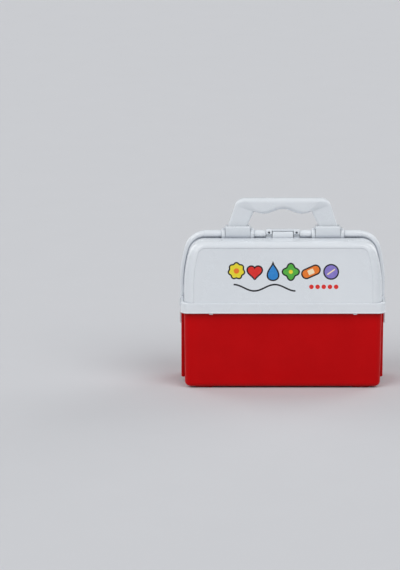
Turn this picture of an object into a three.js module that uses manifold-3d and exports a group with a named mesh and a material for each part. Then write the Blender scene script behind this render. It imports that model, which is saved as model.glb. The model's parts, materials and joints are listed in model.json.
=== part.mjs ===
// Toy doctor case: a red tub under two white lid halves that open outwards like wings.
// The halves meet at mid depth in a round bead, where the handle and the latch sit.
// Millimetres, +X to the right, front towards -Y, +Z up, origin under the middle of the case.

import * as THREE from 'three';
import { mergeVertices } from 'three/addons/utils/BufferGeometryUtils.js';
import Module from 'manifold-3d';

const wasm = await Module();
wasm.setup();

// Driving sizes

const WALL = 2;
const FIT_GAP = 0.35;
const SEAM_GAP = 0.3;
const CUT_OVERRUN = 5;

const tub = {
  halfWidth: 106.2,
  halfDepth: 36.7,
  rimTop: 92.5,
  draft: 1.2,
  cornerRadius: 8,
  bottomRadius: 5,
  floor: 2.2,
  footHeight: 1.6,
};

const foot = { length: 20, width: 12, radius: 4, insetX: 22, insetY: 13 };

const band = { tubGap: 1.8, lap: 8.5, height: 11.3, cornerRadius: 9, edge: 0.8 };
band.halfWidth = tub.halfWidth + band.tubGap + WALL;
band.halfDepth = tub.halfDepth + band.tubGap + WALL;
band.bottom = tub.rimTop - band.lap;
band.top = band.bottom + band.height;

const rib = { halfWidth: 10.8, bandInset: 0.9, bottom: 6, edgeRadius: 1.5, topGap: 0.5 };
rib.outer = band.halfWidth - rib.bandInset;

const lid = {
  endStep: 4,
  faceStep: 2,
  height: 64,
  cornerRadius: 17.5,
  sideRadius: 136.5,
  sideLeanDegrees: 16,
  faceLeanDegrees: 10,
  topFillet: 6.4,
  planRadius: 10.2,
};
lid.halfWidth = band.halfWidth - lid.endStep;
lid.halfDepth = band.halfDepth - lid.faceStep;
lid.top = band.top + lid.height;

// A shallow panel sunk into the flat of each lid face
const panel = { sideInset: 10.2, topInset: 6, cornerRadius: 8, depth: 0.5 };

const bead = { radius: 4, proud: 0.6, rise: 7.2, cornerGrowth: 6, sideGrowth: 5 };
bead.halfWidth = band.halfWidth + bead.proud;
bead.top = lid.top + bead.rise;
bead.cornerRadius = lid.cornerRadius + bead.cornerGrowth;
bead.sideRadius = lid.sideRadius + bead.sideGrowth;
bead.z = bead.top - bead.radius;

const sleeve = { swell: 0.4, chamfer: 0.5, endInset: 2.5 };
sleeve.outerEnd = bead.halfWidth - bead.cornerRadius - sleeve.endInset;

const tab = { ribGap: 0.3, thickness: 1.4, beadGap: 1.3, drop: 17.5, rise: 10.2, radius: 2 };
tab.inner = rib.outer + tab.ribGap;
tab.outer = tab.inner + tab.thickness;
tab.near = bead.radius + tab.beadGap;
tab.far = rib.halfWidth;

const hinge = {
  insetX: 29.2,
  stand: 1,
  rise: 0.2,
  pinRadius: 0.75,
  pinGap: 0.3,
  knuckleRadius: 1.8,
  knuckleHalf: 2,
  lugWidth: 2,
  webRise: 3.2,
  webInset: 0.7,
};
hinge.x = tub.halfWidth - hinge.insetX;
hinge.y = tub.halfDepth + hinge.stand;
hinge.z = band.bottom + hinge.rise;
hinge.bore = hinge.pinRadius + hinge.pinGap;
hinge.lugInner = hinge.knuckleHalf + FIT_GAP;
hinge.lugOuter = hinge.lugInner + hinge.lugWidth;

const handle = {
  x: 48.4,
  y: 0.6,
  baseHalf: 10.2,
  pivotY: 2,
  pinRadius: 1.5,
  pinGap: 0.3,
  barrelRadius: 4,
  barrelGap: 0.7,
  footDrop: 1,
  armThickness: 8,
  armEdge: 1.8,
  armRise: 15,
  neckGap: 0.5,
  innerShift: 7.2,
  outerShift: 4.9,
  gripHeight: 14.5,
  topCorner: 11,
  gripDepth: 12.4,
  gripEdge: 5.2,
  waveDepth: 2.5,
  waveLength: 40,
  turnRun: 7,
};

const socket = {
  halfDepth: 7.5,
  height: 12.7,
  bevelRise: 3.8,
  bevelRun: 2.3,
  edge: 1,
  rearRound: 4,
  frontWall: 2.5,
  cheek: 1.1,
  ear: 1.2,
  earRadius: 3.2,
  collarWidth: 4.3,
  collarRadius: 6.5,
  collarChamfer: 0.6,
  gussetHalfDepth: 3.4,
};
// From the handle outwards: a gap, an ear of the rear half, a gap and the cheek of the front cover
socket.inner = handle.baseHalf + FIT_GAP;
socket.earOuter = socket.inner + socket.ear;
socket.coverInner = socket.earOuter + FIT_GAP;
socket.halfWidth = socket.coverInner + socket.cheek;
socket.top = lid.top + socket.height;

handle.pivotZ = lid.top + handle.barrelGap + handle.barrelRadius;
handle.neckZ = socket.top + handle.neckGap;
handle.shoulderZ = handle.neckZ + handle.armRise;
handle.top = handle.shoulderZ + handle.gripHeight;

const latch = {
  halfWidth: 18,
  earWidth: 6.4,
  lipFront: 3.2,
  lipThickness: 2,
  front: 4.8,
  beadGap: 0.4,
  strip: 1.3,
  pivotY: 6.6,
  pinRadius: 0.8,
  pinGap: 0.3,
  barrelRadius: 2,
  barrelGap: 0.4,
  floorGap: 0.35,
  pitRadius: 1.1,
  pitDepth: 2,
  pitRise: 2.4,
  lugWidth: 3,
};
latch.inner = latch.halfWidth - latch.earWidth;
latch.innerRadius = bead.radius + latch.beadGap;
latch.backRadius = latch.innerRadius + latch.strip;
latch.lipTop = bead.z + latch.backRadius;
latch.lipBottom = latch.lipTop - latch.lipThickness;
latch.pivotZ = lid.top + latch.barrelGap + latch.barrelRadius;
latch.lugInner = latch.halfWidth + FIT_GAP;
latch.lugOuter = latch.lugInner + latch.lugWidth;

const bar = { gap: 0.5, lipGap: 0.4, crestBack: 1.6, back: 0.5, edge: 0.4 };

// Facets

const CORNER_STEPS = 6;
const CROWN_STEPS = 10;
const SIDE_STEPS = 4;
const ARM_STEPS = 4;
const TURN_STEPS = 6;
const GRIP_STEPS = 7;
const BEAD_SIDES = 16;
const ROD_SIDES = 20;
const PIN_SIDES = 16;
const MERGE_DISTANCE = 1e-5;
// The arms of the handle take on this share of the grip's section by the shoulder
const SHOULDER_SHARE = 1 / 3;
const ROUNDEST_EDGE_SHARE = 0.95;

// Fits that the two halves share

const halfSeam = SEAM_GAP / 2;
// A lid half opens about its hinge, so at the seam it moves outwards and up along this slope
const openingSlope = (hinge.y - halfSeam) / (lid.top - hinge.z);

const radians = THREE.MathUtils.degToRad;

// Solids

function toSolid(geometry) {
  const plain = geometry.clone();
  plain.deleteAttribute('normal');
  plain.deleteAttribute('uv');
  const merged = mergeVertices(plain, MERGE_DISTANCE);
  const vertProperties = Float32Array.from(merged.attributes.position.array);
  const triVerts = Uint32Array.from(merged.index.array);
  return new wasm.Manifold(new wasm.Mesh({ numProp: 3, vertProperties, triVerts }));
}

function toGeometry(solid) {
  const mesh = solid.getMesh();
  const geometry = new THREE.BufferGeometry();
  geometry.setAttribute('position', new THREE.BufferAttribute(mesh.vertProperties, 3));
  geometry.setIndex(new THREE.BufferAttribute(mesh.triVerts, 1));
  geometry.computeVertexNormals();
  return geometry;
}

function join(solids) {
  return solids.reduce((whole, solid) => whole.add(solid));
}

function box(x0, x1, y0, y1, z0, z1) {
  const geometry = new THREE.BoxGeometry(x1 - x0, y1 - y0, z1 - z0);
  geometry.translate((x0 + x1) / 2, (y0 + y1) / 2, (z0 + z1) / 2);
  return toSolid(geometry);
}

// A closed skin over rings of points that all have the same count, with a fan at each end
function loft(rings) {
  const count = rings[0].length;
  const points = rings.flat();
  const triangles = [];
  for (let k = 0; k + 1 < rings.length; k++) {
    for (let i = 0; i < count; i++) {
      const a = k * count + i;
      const b = k * count + ((i + 1) % count);
      triangles.push(a, b, b + count, a, b + count, a + count);
    }
  }
  [rings[0], rings[rings.length - 1]].forEach((ring, end) => {
    const centre = ring.reduce((sum, p) => sum.add(p), new THREE.Vector3()).divideScalar(count);
    const hub = points.push(centre) - 1;
    const first = end * (rings.length - 1) * count;
    for (let i = 0; i < count; i++) {
      const a = first + i;
      const b = first + ((i + 1) % count);
      triangles.push(...(end ? [a, b, hub] : [b, a, hub]));
    }
  });
  if (signedVolume(points, triangles) < 0) triangles.reverse();
  const geometry = new THREE.BufferGeometry().setFromPoints(points);
  geometry.setIndex(triangles);
  return toSolid(geometry);
}

function signedVolume(points, triangles) {
  let volume = 0;
  for (let t = 0; t < triangles.length; t += 3) {
    const [a, b, c] = [0, 1, 2].map((k) => points[triangles[t + k]]);
    volume += a.dot(b.clone().cross(c));
  }
  return volume;
}

// Corner points of a rounded rectangle, anticlockwise from the +u side
function roundedOutline(halfU, halfV, radius) {
  const outline = [];
  for (let corner = 0; corner < 4; corner++) {
    const u = (halfU - radius) * (corner === 0 || corner === 3 ? 1 : -1);
    const v = (halfV - radius) * (corner < 2 ? 1 : -1);
    for (let step = 0; step <= CORNER_STEPS; step++) {
      const angle = ((corner + step / CORNER_STEPS) * Math.PI) / 2;
      outline.push([u + radius * Math.cos(angle), v + radius * Math.sin(angle)]);
    }
  }
  return outline;
}

function levelRing(halfX, halfY, radius, z) {
  return roundedOutline(halfX, halfY, radius).map(([x, y]) => new THREE.Vector3(x, y, z));
}

// A round rod along X, with chamfered ends
function rodX(radius, x0, x1, y, z, chamfer = 0, sides = ROD_SIDES) {
  const length = x1 - x0;
  const profile = [
    new THREE.Vector2(0, 0),
    new THREE.Vector2(radius - chamfer, 0),
    ...(chamfer ? [new THREE.Vector2(radius, chamfer), new THREE.Vector2(radius, length - chamfer)] : []),
    new THREE.Vector2(radius - chamfer, length),
    new THREE.Vector2(0, length),
  ];
  const geometry = new THREE.LatheGeometry(profile, sides);
  geometry.rotateZ(-Math.PI / 2);
  geometry.translate(x0, y, z);
  return toSolid(geometry);
}

// A profile drawn in Y and Z, carried along X
function extrudeX(shape, x0, x1, bevel = 0) {
  const geometry = new THREE.ExtrudeGeometry(shape, {
    depth: x1 - x0 - 2 * bevel,
    bevelEnabled: bevel > 0,
    bevelThickness: bevel,
    bevelSize: bevel,
    bevelOffset: -bevel,
    bevelSegments: 1,
    curveSegments: CORNER_STEPS,
  });
  const axes = new THREE.Matrix4().makeBasis(
    new THREE.Vector3(0, 1, 0),
    new THREE.Vector3(0, 0, 1),
    new THREE.Vector3(1, 0, 0),
  );
  geometry.applyMatrix4(axes);
  geometry.translate(x0 + bevel, 0, 0);
  return toSolid(geometry);
}

// A crown is the front outline of a lid or bead: upright, then a slow curve, then a corner to a flat top
function crownOf({ halfWidth, top, cornerRadius, sideRadius }) {
  const lean = radians(lid.sideLeanDegrees);
  const cornerZ = top - cornerRadius;
  return {
    halfWidth,
    cornerRadius,
    sideRadius,
    lean,
    sideX: halfWidth - sideRadius,
    cornerX: halfWidth - sideRadius + (sideRadius - cornerRadius) * Math.cos(lean),
    cornerZ,
    sideZ: cornerZ - (sideRadius - cornerRadius) * Math.sin(lean),
  };
}

function crownHalfWidth(crown, z, inset) {
  const corner = crown.cornerRadius - inset;
  const side = crown.sideRadius - inset;
  if (z <= crown.sideZ) return crown.halfWidth - inset;
  if (z <= crown.cornerZ + corner * Math.sin(crown.lean)) {
    return crown.sideX + Math.sqrt(side ** 2 - (z - crown.sideZ) ** 2);
  }
  return crown.cornerX + Math.sqrt(Math.max(0, corner ** 2 - (z - crown.cornerZ) ** 2));
}

// Half depth of a lid at a height: a leaning face that rolls over into the flat top
function lidHalfDepth(z, inset) {
  const lean = radians(lid.faceLeanDegrees);
  const radius = lid.topFillet - inset;
  const centreZ = lid.top - lid.topFillet;
  const face = (height) => lid.halfDepth - Math.tan(lean) * (height - band.top);
  if (z <= centreZ + radius * Math.sin(lean)) return face(z) - inset / Math.cos(lean);
  const centreY = face(centreZ) - lid.topFillet / Math.cos(lean);
  return centreY + Math.sqrt(Math.max(0, radius ** 2 - (z - centreZ) ** 2));
}

const lidCrown = crownOf(lid);

// Heights up a crown: even steps to the corner, then even turns round it
function crownHeights(crown, fromZ, inset) {
  const corner = crown.cornerRadius - inset;
  const turnZ = crown.cornerZ + corner * Math.sin(crown.lean);
  const heights = [];
  for (let step = 0; step < SIDE_STEPS; step++) {
    heights.push(fromZ + ((turnZ - fromZ) * step) / SIDE_STEPS);
  }
  for (let step = 0; step <= CROWN_STEPS; step++) {
    const angle = THREE.MathUtils.lerp(crown.lean, Math.PI / 2, step / CROWN_STEPS);
    heights.push(crown.cornerZ + corner * Math.sin(angle));
  }
  return heights;
}

function lidRings(fromZ, inset) {
  return crownHeights(lidCrown, fromZ, inset).map((z) => {
    const halfX = crownHalfWidth(lidCrown, z, inset);
    return levelRing(halfX, lidHalfDepth(z, inset), lid.planRadius - inset, z);
  });
}

function bandRing(z, inset) {
  return levelRing(band.halfWidth - inset, band.halfDepth - inset, band.cornerRadius - inset, z);
}

// The whole white top before it is split: skirt band below, crown above
function lidOuter() {
  return loft([
    bandRing(band.bottom, band.edge),
    bandRing(band.bottom + band.edge, 0),
    bandRing(band.top - band.edge, 0),
    bandRing(band.top, band.edge),
    ...lidRings(band.top, 0),
  ]);
}

function lidHollow() {
  const ledge = band.top - WALL;
  return loft([bandRing(band.bottom - CUT_OVERRUN, WALL), bandRing(ledge, WALL), ...lidRings(ledge, WALL)]);
}

// The panel is drawn in the plane of the leaning face and sunk along its normal
function panelCut(front) {
  const crown = crownOf({
    halfWidth: lid.halfWidth - panel.sideInset,
    top: lid.top - panel.topInset,
    cornerRadius: panel.cornerRadius,
    sideRadius: lid.sideRadius - panel.sideInset,
  });
  const lean = radians(lid.faceLeanDegrees);
  const edge = crownHeights(crown, band.top, 0).map((z) => (
    new THREE.Vector2(crownHalfWidth(crown, z, 0), (z - band.top) / Math.cos(lean))
  ));
  const mirrored = edge.map((point) => new THREE.Vector2(-point.x, point.y)).reverse();
  const geometry = new THREE.ExtrudeGeometry(new THREE.Shape([...edge, ...mirrored]), {
    depth: CUT_OVERRUN,
    bevelThickness: panel.depth,
    bevelSize: panel.depth,
    bevelOffset: -panel.depth,
    bevelSegments: 1,
  });
  geometry.rotateX(Math.PI / 2 - lean);
  geometry.translate(0, -lid.halfDepth, band.top);
  if (front > 0) geometry.rotateZ(Math.PI);
  return toSolid(geometry);
}

// The round bead follows the crown from the foot of the skirt over the top and down again
function beadTube() {
  const crown = crownOf(bead);
  const stations = [{ x: crown.halfWidth, z: band.bottom, angle: 0 }];
  for (let step = 0; step <= SIDE_STEPS; step++) {
    const angle = (crown.lean * step) / SIDE_STEPS;
    const x = crown.sideX + crown.sideRadius * Math.cos(angle);
    stations.push({ x, z: crown.sideZ + crown.sideRadius * Math.sin(angle), angle });
  }
  for (let step = 1; step <= CROWN_STEPS; step++) {
    const angle = THREE.MathUtils.lerp(crown.lean, Math.PI / 2, step / CROWN_STEPS);
    const x = crown.cornerX + crown.cornerRadius * Math.cos(angle);
    stations.push({ x, z: crown.cornerZ + crown.cornerRadius * Math.sin(angle), angle });
  }
  const mirrored = stations.map(({ x, z, angle }) => ({ x: -x, z, angle: Math.PI - angle })).reverse();
  return loft([...stations, ...mirrored].map(({ x, z, angle }) => {
    const ring = [];
    for (let side = 0; side < BEAD_SIDES; side++) {
      const turn = (2 * Math.PI * (side + 0.5)) / BEAD_SIDES;
      const out = bead.radius * (Math.cos(turn) - 1);
      ring.push(new THREE.Vector3(
        x + out * Math.cos(angle),
        bead.radius * Math.sin(turn),
        z + out * Math.sin(angle),
      ));
    }
    return ring;
  }));
}

// Straight stretches of the bead between corner, sockets and latch are a little thicker
function beadSleeves() {
  const radius = bead.radius + sleeve.swell;
  const collarOut = socket.halfWidth + socket.collarWidth;
  const spans = [
    [handle.x + collarOut, sleeve.outerEnd],
    [latch.lugOuter - FIT_GAP, handle.x - collarOut],
  ];
  return join(spans.flatMap(([x0, x1]) => [
    rodX(radius, x0, x1, 0, bead.z, sleeve.chamfer),
    rodX(radius, -x1, -x0, 0, bead.z, sleeve.chamfer),
  ]));
}

// Handle socket, outside: a block with a collar on each side
function socketBlock(x) {
  const { halfDepth, halfWidth, top, edge, rearRound, bevelRise, bevelRun } = socket;
  const shape = new THREE.Shape();
  shape.moveTo(-halfDepth + bevelRun, lid.top - WALL / 2);
  shape.lineTo(-halfDepth + bevelRun, lid.top);
  shape.lineTo(-halfDepth, lid.top + bevelRise);
  shape.lineTo(-halfDepth, top - edge);
  shape.absarc(-halfDepth + edge, top - edge, edge, Math.PI, Math.PI / 2, true);
  shape.lineTo(halfDepth - rearRound, top);
  shape.absarc(halfDepth - rearRound, top - rearRound, rearRound, Math.PI / 2, 0, true);
  shape.lineTo(halfDepth, lid.top - WALL / 2);
  const block = extrudeX(shape, x - halfWidth, x + halfWidth);
  const sides = [-1, 1].flatMap((side) => {
    const near = x + side * (halfWidth - FIT_GAP);
    const far = x + side * (halfWidth + socket.collarWidth);
    const [x0, x1] = [near, far].sort((a, b) => a - b);
    const collar = rodX(socket.collarRadius, x0, x1, 0, bead.z, socket.collarChamfer);
    return [collar, socketGusset(near, far)];
  });
  return join([block, ...sides]);
}

// A sloping web from the top of the block down to the outer end of its collar
function socketGusset(near, far) {
  const crest = socket.top - socket.edge;
  const shape = new THREE.Shape();
  shape.moveTo(near, bead.z);
  shape.lineTo(far, bead.z);
  shape.lineTo(far, bead.z + socket.collarRadius - socket.collarChamfer);
  shape.lineTo(near, crest);
  const depth = 2 * socket.gussetHalfDepth;
  const geometry = new THREE.ExtrudeGeometry(shape, { depth, bevelEnabled: false });
  geometry.translate(0, 0, -socket.gussetHalfDepth);
  geometry.rotateX(Math.PI / 2);
  return toSolid(geometry);
}

function socketSlot(x, halfWidth, frontY) {
  const rearY = socket.halfDepth + CUT_OVERRUN;
  return box(x - halfWidth, x + halfWidth, frontY, rearY, lid.top, socket.top + CUT_OVERRUN);
}

function handlePinHole(x) {
  const half = socket.halfWidth + handle.pinGap;
  return rodX(handle.pinRadius + handle.pinGap, x - half, x + half, handle.pivotY, handle.pivotZ);
}

// Two thin ears carry the handle pin past the seam, under the front cover
function socketEars(x) {
  return join([-1, 1].map((side) => {
    const near = x + side * socket.inner;
    const far = x + side * socket.earOuter;
    return rodX(socket.earRadius, Math.min(near, far), Math.max(near, far), handle.pivotY, handle.pivotZ);
  }));
}

// Hinges: front is -1, rear is +1
function hingeKnuckle(x, front) {
  const y = front * hinge.y;
  const knuckle = rodX(hinge.knuckleRadius, x - hinge.knuckleHalf, x + hinge.knuckleHalf, y, hinge.z);
  const ends = [y, front * (band.halfDepth - hinge.webInset)].sort((a, b) => a - b);
  const half = hinge.knuckleHalf;
  const web = box(x - half, x + half, ends[0], ends[1], hinge.z, hinge.z + hinge.webRise);
  return knuckle.add(web);
}

function hingeRod(x, front, radius, half) {
  return rodX(radius, x - half, x + half, front * hinge.y, hinge.z);
}

function hingeLugs(x, front) {
  return join([-1, 1].map((side) => {
    const [x0, x1] = [x + side * hinge.lugInner, x + side * hinge.lugOuter].sort((a, b) => a - b);
    const root = front * (tub.halfDepth - WALL / 2);
    const [y0, y1] = [front * hinge.y, root].sort((a, b) => a - b);
    const { knuckleRadius } = hinge;
    const arm = box(x0, x1, y0, y1, hinge.z - knuckleRadius, hinge.z + knuckleRadius);
    return rodX(knuckleRadius, x0, x1, front * hinge.y, hinge.z).add(arm);
  }));
}

const hingePlaces = [-1, 1].flatMap((front) => [-1, 1].map((side) => ({ front, side, x: side * hinge.x })));

// Flat tabs under the skirt slide down outside the ribs of the tub
function sideTabs(front) {
  const { near, far, drop, rise, radius } = tab;
  const shape = new THREE.Shape();
  const low = band.bottom - drop;
  const high = band.bottom + rise;
  shape.moveTo(front * near, high);
  shape.lineTo(front * far, high);
  shape.lineTo(front * far, low + radius);
  shape.quadraticCurveTo(front * far, low, front * (far - radius), low);
  shape.lineTo(front * (near + radius), low);
  shape.quadraticCurveTo(front * near, low, front * near, low + radius);
  return extrudeX(shape, tab.inner, tab.outer).add(extrudeX(shape, -tab.outer, -tab.inner));
}

// Both lid halves start from the same top
function closedTop() {
  const outside = join([
    lidOuter(),
    beadTube(),
    beadSleeves(),
    socketBlock(handle.x),
    socketBlock(-handle.x),
  ]);
  return outside.subtract(lidHollow()).subtract(panelCut(-1)).subtract(panelCut(1));
}

function halfSpace(front) {
  const far = band.halfDepth + CUT_OVERRUN;
  const ends = [front * halfSeam, front * far].sort((a, b) => a - b);
  const wide = bead.halfWidth + CUT_OVERRUN;
  return box(-wide, wide, ends[0], ends[1], band.bottom - CUT_OVERRUN, socket.top + CUT_OVERRUN);
}

function lidHalf(top, front) {
  const reliefs = hingePlaces.filter((place) => place.front === front)
    .map(({ x }) => hingeRod(x, front, hinge.knuckleRadius + FIT_GAP, hinge.lugOuter + FIT_GAP));
  const knuckles = hingePlaces.filter((place) => place.front === front)
    .map(({ x }) => hingeKnuckle(x, front));
  const bores = hingePlaces.filter((place) => place.front === front)
    .map(({ x }) => hingeRod(x, front, hinge.bore, hinge.lugOuter));
  return top.intersect(halfSpace(front))
    .add(sideTabs(front))
    .subtract(join(reliefs))
    .add(join(knuckles))
    .subtract(join(bores));
}

// The seam side of the latch lies on the front lid: a bar between two low wedges
function latchBar() {
  const shape = new THREE.Shape();
  const root = lid.top - WALL / 2;
  const crestY = -latch.front + bar.crestBack;
  const crestZ = latch.lipBottom - bar.lipGap;
  const backZ = crestZ - openingSlope * (-bar.back - crestY);
  shape.moveTo(-latch.front, root);
  shape.lineTo(-bar.back, root);
  shape.lineTo(-bar.back, backZ);
  shape.lineTo(crestY, crestZ);
  shape.quadraticCurveTo(-latch.front, crestZ, -latch.front, crestZ - bar.crestBack);
  const half = latch.inner - bar.gap;
  return extrudeX(shape, -half, half, bar.edge);
}

function latchWedges() {
  const shape = new THREE.Shape();
  shape.moveTo(-latch.front, lid.top - WALL / 2);
  shape.lineTo(-halfSeam, lid.top - WALL / 2);
  shape.lineTo(-halfSeam, lid.top);
  shape.lineTo(-latch.front, lid.top + openingSlope * (latch.front - halfSeam));
  return extrudeX(shape, latch.inner, latch.halfWidth).add(extrudeX(shape, -latch.halfWidth, -latch.inner));
}

function frontLid(top) {
  const clearance = box(-latch.lugInner, latch.lugInner, -socket.halfDepth, 0, lid.top, socket.top);
  const behindWall = socket.frontWall - socket.halfDepth;
  const coverRoom = [-handle.x, handle.x].map((x) => socketSlot(x, socket.coverInner, behindWall));
  return lidHalf(top, -1)
    .subtract(clearance)
    .subtract(join(coverRoom))
    .add(latchBar())
    .add(latchWedges());
}

function latchLugs() {
  const root = lid.top - WALL / 2;
  const [y0, y1] = [latch.pivotY - latch.barrelRadius, latch.pivotY + latch.barrelRadius];
  return join([-1, 1].map((side) => {
    const [x0, x1] = [side * latch.lugInner, side * latch.lugOuter].sort((a, b) => a - b);
    const post = box(x0, x1, y0, y1, root, latch.pivotZ);
    return post.add(rodX(latch.barrelRadius, x0, x1, latch.pivotY, latch.pivotZ));
  }));
}

function latchHole(half) {
  return rodX(latch.pinRadius + latch.pinGap, -half, half, latch.pivotY, latch.pivotZ, 0, PIN_SIDES);
}

function rearLid(top) {
  const sockets = [-handle.x, handle.x];
  const under = latch.inner - FIT_GAP;
  const backs = [-1, 1].map((side) => {
    const [x0, x1] = [side * under, side * latch.lugInner].sort((a, b) => a - b);
    return box(x0, x1, 0, socket.halfDepth, lid.top, socket.top);
  });
  return lidHalf(top, 1)
    .subtract(join(sockets.map((x) => socketSlot(x, socket.inner, -CUT_OVERRUN))))
    .add(join(sockets.map(socketEars)))
    .subtract(join(sockets.map(handlePinHole)))
    .subtract(join(backs))
    .add(latchLugs())
    .subtract(latchHole(latch.lugOuter + CUT_OVERRUN));
}

function tubRing(z, inset) {
  const rise = (z - tub.footHeight) / (tub.rimTop - tub.footHeight);
  const shrink = inset + tub.draft * (1 - rise);
  return levelRing(
    tub.halfWidth - shrink,
    tub.halfDepth - shrink,
    Math.max(tub.cornerRadius - shrink, WALL),
    z,
  );
}

// A wall that starts with a rounded bottom edge and rises to the rim
function tubWallRings(bottom, inset, radius, top) {
  const rings = [];
  for (let step = 0; step <= CORNER_STEPS; step++) {
    const angle = ((step / CORNER_STEPS) * Math.PI) / 2;
    rings.push(tubRing(bottom + radius * (1 - Math.cos(angle)), inset + radius * (1 - Math.sin(angle))));
  }
  return [...rings, tubRing(top, inset)];
}

function tubFeet() {
  const reachX = tub.halfWidth - foot.insetX;
  const reachY = tub.halfDepth - foot.insetY;
  return join([-1, 1].flatMap((sideX) => [-1, 1].map((sideY) => {
    const rings = [0, tub.footHeight + tub.floor / 2].map((z) => (
      roundedOutline(foot.length / 2, foot.width / 2, foot.radius)
        .map(([x, y]) => new THREE.Vector3(x + sideX * reachX, y + sideY * reachY, z))
    ));
    return loft(rings);
  })));
}

// A flat rib up each end wall carries on the line of the bead
function tubRibs() {
  const top = band.bottom - rib.topGap;
  return join([-1, 1].map((side) => {
    const inner = tub.halfWidth - WALL;
    const mid = (inner + rib.outer) / 2;
    const rings = [rib.bottom, rib.bottom + rib.edgeRadius, top].map((z, level) => {
      const shrink = level ? 0 : rib.edgeRadius;
      return roundedOutline((rib.outer - inner - shrink) / 2, rib.halfWidth - shrink, rib.edgeRadius)
        .map(([x, y]) => new THREE.Vector3(side * (mid - shrink / 2 + x), y, z));
    });
    return loft(rings);
  }));
}

function tubBody() {
  const outer = loft(tubWallRings(tub.footHeight, 0, tub.bottomRadius, tub.rimTop));
  const inner = loft(tubWallRings(
    tub.footHeight + tub.floor, WALL, tub.bottomRadius - WALL, tub.rimTop + CUT_OVERRUN,
  ));
  const pockets = hingePlaces.map(({ x, front }) => (
    hingeRod(x, front, hinge.knuckleRadius + FIT_GAP, hinge.lugInner)
  ));
  const lugs = hingePlaces.map(({ x, front }) => hingeLugs(x, front));
  const bores = hingePlaces.map(({ x, front }) => (
    hingeRod(x, front, hinge.bore, hinge.lugOuter + CUT_OVERRUN)
  ));
  return join([outer, tubRibs(), tubFeet()])
    .subtract(inner)
    .subtract(join(pockets))
    .add(join(lugs))
    .subtract(join(bores));
}

// Underside of the grip: finger grooves as a cosine wave
function gripUnderside(x) {
  return handle.shoulderZ + handle.waveDepth * Math.cos((2 * Math.PI * x) / handle.waveLength);
}

// One cross section of the handle, spanning from the inner to the outer edge
function handleRing(inner, outer, halfDepth, edge) {
  const roundest = Math.min(inner.distanceTo(outer) / 2, halfDepth) * ROUNDEST_EDGE_SHARE;
  const along = outer.clone().sub(inner);
  const half = along.length() / 2;
  const centre = inner.clone().add(outer).divideScalar(2);
  along.normalize();
  return roundedOutline(half, halfDepth, Math.min(edge, roundest))
    .map(([u, v]) => new THREE.Vector3(centre.x + along.x * u, handle.y + v, centre.y + along.y * u));
}

function handleStations() {
  const point = (x, z) => new THREE.Vector2(x, z);
  const baseZ = handle.pivotZ - handle.footDrop;
  const inner = handle.x - handle.baseHalf;
  const outer = handle.x + handle.baseHalf;
  const lean = Math.atan(handle.outerShift / (handle.shoulderZ - handle.neckZ));
  const turnZ = handle.top - handle.topCorner;
  const armRun = (turnZ + handle.topCorner * Math.sin(lean) - handle.shoulderZ) * Math.tan(lean);
  const turn = point(outer - handle.outerShift - armRun - handle.topCorner * Math.cos(lean), turnZ);
  const stations = [
    { inner: point(inner, baseZ), outer: point(outer, baseZ), blend: 0 },
    { inner: point(inner, handle.neckZ), outer: point(outer, handle.neckZ), blend: 0 },
  ];
  for (let step = 1; step <= ARM_STEPS; step++) {
    const share = step / ARM_STEPS;
    const z = THREE.MathUtils.lerp(handle.neckZ, handle.shoulderZ, share);
    stations.push({
      inner: point(inner - handle.innerShift * share, z),
      outer: point(outer - handle.outerShift * share, z),
      blend: SHOULDER_SHARE * share,
    });
  }
  const shoulderX = inner - handle.innerShift;
  const turnInner = shoulderX - handle.turnRun;
  for (let step = 0; step <= TURN_STEPS; step++) {
    const share = step / TURN_STEPS;
    const angle = THREE.MathUtils.lerp(lean, Math.PI / 2, share);
    const x = THREE.MathUtils.lerp(shoulderX, turnInner, (step + 1) / (TURN_STEPS + 1));
    const corner = point(Math.cos(angle), Math.sin(angle)).multiplyScalar(handle.topCorner);
    stations.push({
      inner: point(x, gripUnderside(x)),
      outer: corner.add(turn),
      blend: THREE.MathUtils.lerp(SHOULDER_SHARE, 1, share),
    });
  }
  for (let step = 1; step <= GRIP_STEPS; step++) {
    const share = 1 - step / GRIP_STEPS;
    const x = turnInner * share;
    stations.push({ inner: point(x, gripUnderside(x)), outer: point(turn.x * share, handle.top), blend: 1 });
  }
  return stations;
}

function handleBody() {
  const right = handleStations();
  const left = right.slice(0, -1).reverse().map(({ inner, outer, blend }) => ({
    inner: new THREE.Vector2(-inner.x, inner.y),
    outer: new THREE.Vector2(-outer.x, outer.y),
    blend,
  }));
  const bow = loft([...right, ...left].map(({ inner, outer, blend }) => handleRing(
    inner,
    outer,
    THREE.MathUtils.lerp(handle.armThickness, handle.gripDepth, blend) / 2,
    THREE.MathUtils.lerp(handle.armEdge, handle.gripEdge, blend),
  )));
  const ends = [-handle.x, handle.x];
  const barrels = ends.map((x) => rodX(
    handle.barrelRadius, x - handle.baseHalf, x + handle.baseHalf, handle.pivotY, handle.pivotZ,
  ));
  return join([bow, ...barrels]).subtract(join(ends.map(handlePinHole)));
}

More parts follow.
